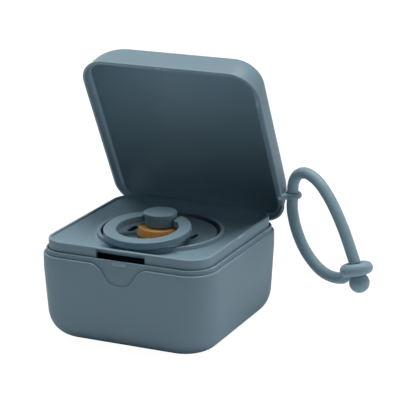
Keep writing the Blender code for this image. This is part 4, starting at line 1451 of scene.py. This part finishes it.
@dataclass
class Studio:
    """Camera at the photograph's angle, pale floor and soft lamps."""

    azimuth: float = math.radians(24.822)
    elevation: float = math.radians(16.598)
    roll: float = math.radians(-0.261)
    distance: float = 0.7245
    target: tuple[float, float, float] = (0.017707, 0.0, 0.054882)
    lens_mm: float = 161.9
    sensor_mm: float = 36.0
    near: float = 0.01
    ambient: float = 0.03
    ambient_colour: str = "#F2F5F8"
    white: str = "#FFFFFF"
    floor_paint: str = "#E3E8EC"
    floor_half: float = 3.0
    floor_drop: float = 0.0001
    glow_share: float = 0.86
    glow: float = 1.14
    lamp_colour: str = "#FFFCF9"
    lamp_size: float = 0.45
    lamp_aim: tuple[float, float, float] = (0.0, 0.0, 0.05)
    lamps: tuple[tuple[str, tuple[float, float, float], float], ...] = (
        ("top_softbox", (0.12, 0.20, 0.92), 5.5), ("left_softbox", (-0.31, 0.0, 0.90), 2.7),
        ("right_softbox", (0.76, 0.38, 0.36), 1.1),
        ("side_softbox", (-0.732, 0.423, 0.358), 1.6),
        ("low_fill", (0.732, -0.423, 0.358), 0.5))

    def build(self) -> None:
        """Make the camera, the world, the floor and the lamps."""
        self.camera()
        self.world()
        self.floor()
        for name, place, watts in self.lamps:
            data = bpy.data.lights.new(name, "AREA")
            data.shape, data.size, data.energy = "SQUARE", self.lamp_size, watts
            data.color = linear(self.lamp_colour)[:3]
            obj = shown(name, data)
            obj.location = place
            obj.rotation_mode = "QUATERNION"
            way = Vector(self.lamp_aim) - Vector(place)
            obj.rotation_quaternion = way.to_track_quat("-Z", "Y")
        bpy.context.scene.view_settings.view_transform = "Standard"

    def camera(self) -> None:
        """The camera that the photograph was fitted with."""
        a, e = self.azimuth, self.elevation
        back = Vector((math.sin(a) * math.cos(e), -math.cos(a) * math.cos(e), math.sin(e)))
        data = bpy.data.cameras.new("camera")
        data.sensor_width, data.lens, data.clip_start = self.sensor_mm, self.lens_mm, self.near
        obj = shown("camera", data)
        obj.matrix_world = Matrix.Translation(Vector(self.target) + back * self.distance) @ \
            back.to_track_quat("Z", "Y").to_matrix().to_4x4() @ Matrix.Rotation(
                self.roll, 4, "Z")
        bpy.context.scene.camera = obj

    def world(self) -> None:
        """A plain level of light all round, which shows as white behind the object."""
        world = bpy.data.worlds.new("studio")
        bpy.context.scene.world = world
        node = cleared(world)
        path = node("LightPath").outputs
        seen = node("Math", {0: path["Is Camera Ray"], 1: path["Is Transmission Ray"]},
                    operation="MAXIMUM")
        soft, white = (node("Background", {"Color": linear(colour), "Strength": strength})
                       for colour, strength in ((self.ambient_colour, self.ambient),
                                                (self.white, 1.0)))
        node("OutputWorld", {"Surface": node("MixShader", {0: seen, 1: soft, 2: white})})

    def floor(self) -> None:
        """A pale floor that reads as white and keeps a faint contact shadow."""
        bm = bmesh.new()
        bmesh.ops.create_grid(bm, x_segments=1, y_segments=1, size=self.floor_half)
        mesh = bpy.data.meshes.new("floor")
        bm.to_mesh(mesh)
        bm.free()
        obj = shown("floor", mesh)
        obj.location.z = -self.floor_drop
        material = bpy.data.materials.new("pale_floor")
        node = cleared(material)
        share = node("Math", {0: node("LightPath").outputs["Is Camera Ray"],
                              1: self.glow_share}, operation="MULTIPLY")
        paint = node("BsdfDiffuse", {"Color": linear(self.floor_paint)})
        glow = node("Emission", {"Color": linear(self.white), "Strength": self.glow})
        node("OutputMaterial", {"Surface": node("MixShader", {0: share, 1: paint, 2: glow})})
        mesh.materials.append(material)


def main() -> None:
    """Build every sub-assembly in order."""
    logging.basicConfig(level=logging.INFO, format="%(message)s")
    Studio().build()
    hinge = Hinge()
    case, lid = Case(hinge), Lid(hinge)
    strap = Strap(hinge.opened() @ lid.eyelet_centre())
    # One plastic from four tools: even matt grain on case and lid, the same a little finer on the
    # tray, and smoother satin on the pacifier, painted darker on its shield for the shade that
    # falls on it in the well
    # The second colour of each plastic paints its edges paler: a painted highlight along the
    # arrises, partly edge wear
    matt = MouldedPlastic("polypropylene_spark_eroded", "#7E9AA9", "#A8C0CC")
    inner = MouldedPlastic("polypropylene_tray", "#809CAB", "#A8C0CC", grain_mm=0.28)
    satin = MouldedPlastic("polypropylene_satin", "#7C98A7", "#95AEBB", roughness=0.40,
                           grain_mm=0.22, grain_depth_mm=0.006)
    # Darker copy of the satin: painted shade on the shield, which sits low in the well under the
    # ring and the lid
    shield_painted_shade = MouldedPlastic("polypropylene_shield_painted_shade", "#6E8997", "#88A1AE", roughness=0.42,
                            grain_mm=0.22, grain_depth_mm=0.006)
    # Amber rubber that glows at its edge, and silicone with a soft bloom
    rubber = DippedRubber("natural_rubber_dipped", "#E0AC66", "#BF8440")
    silicone = MouldedSilicone("silicone_moulded", "#8EADBB", tuple(strap.eyelet),
                               tuple(strap.normal()))
    strap.build(silicone.build())
    plastic = matt.build()
    plan = case.plan()
    case.build(plan, plastic)
    lid.build(plan, plastic)
    Tray().build(plan, inner.build())
    Pacifier().build(satin.build(), shield_painted_shade.build(), rubber.build())
    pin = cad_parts["hinge_pin"]
    pin.data.materials.clear()
    pin.data.materials.append(plastic)


if __name__ == "__main__":
    main()
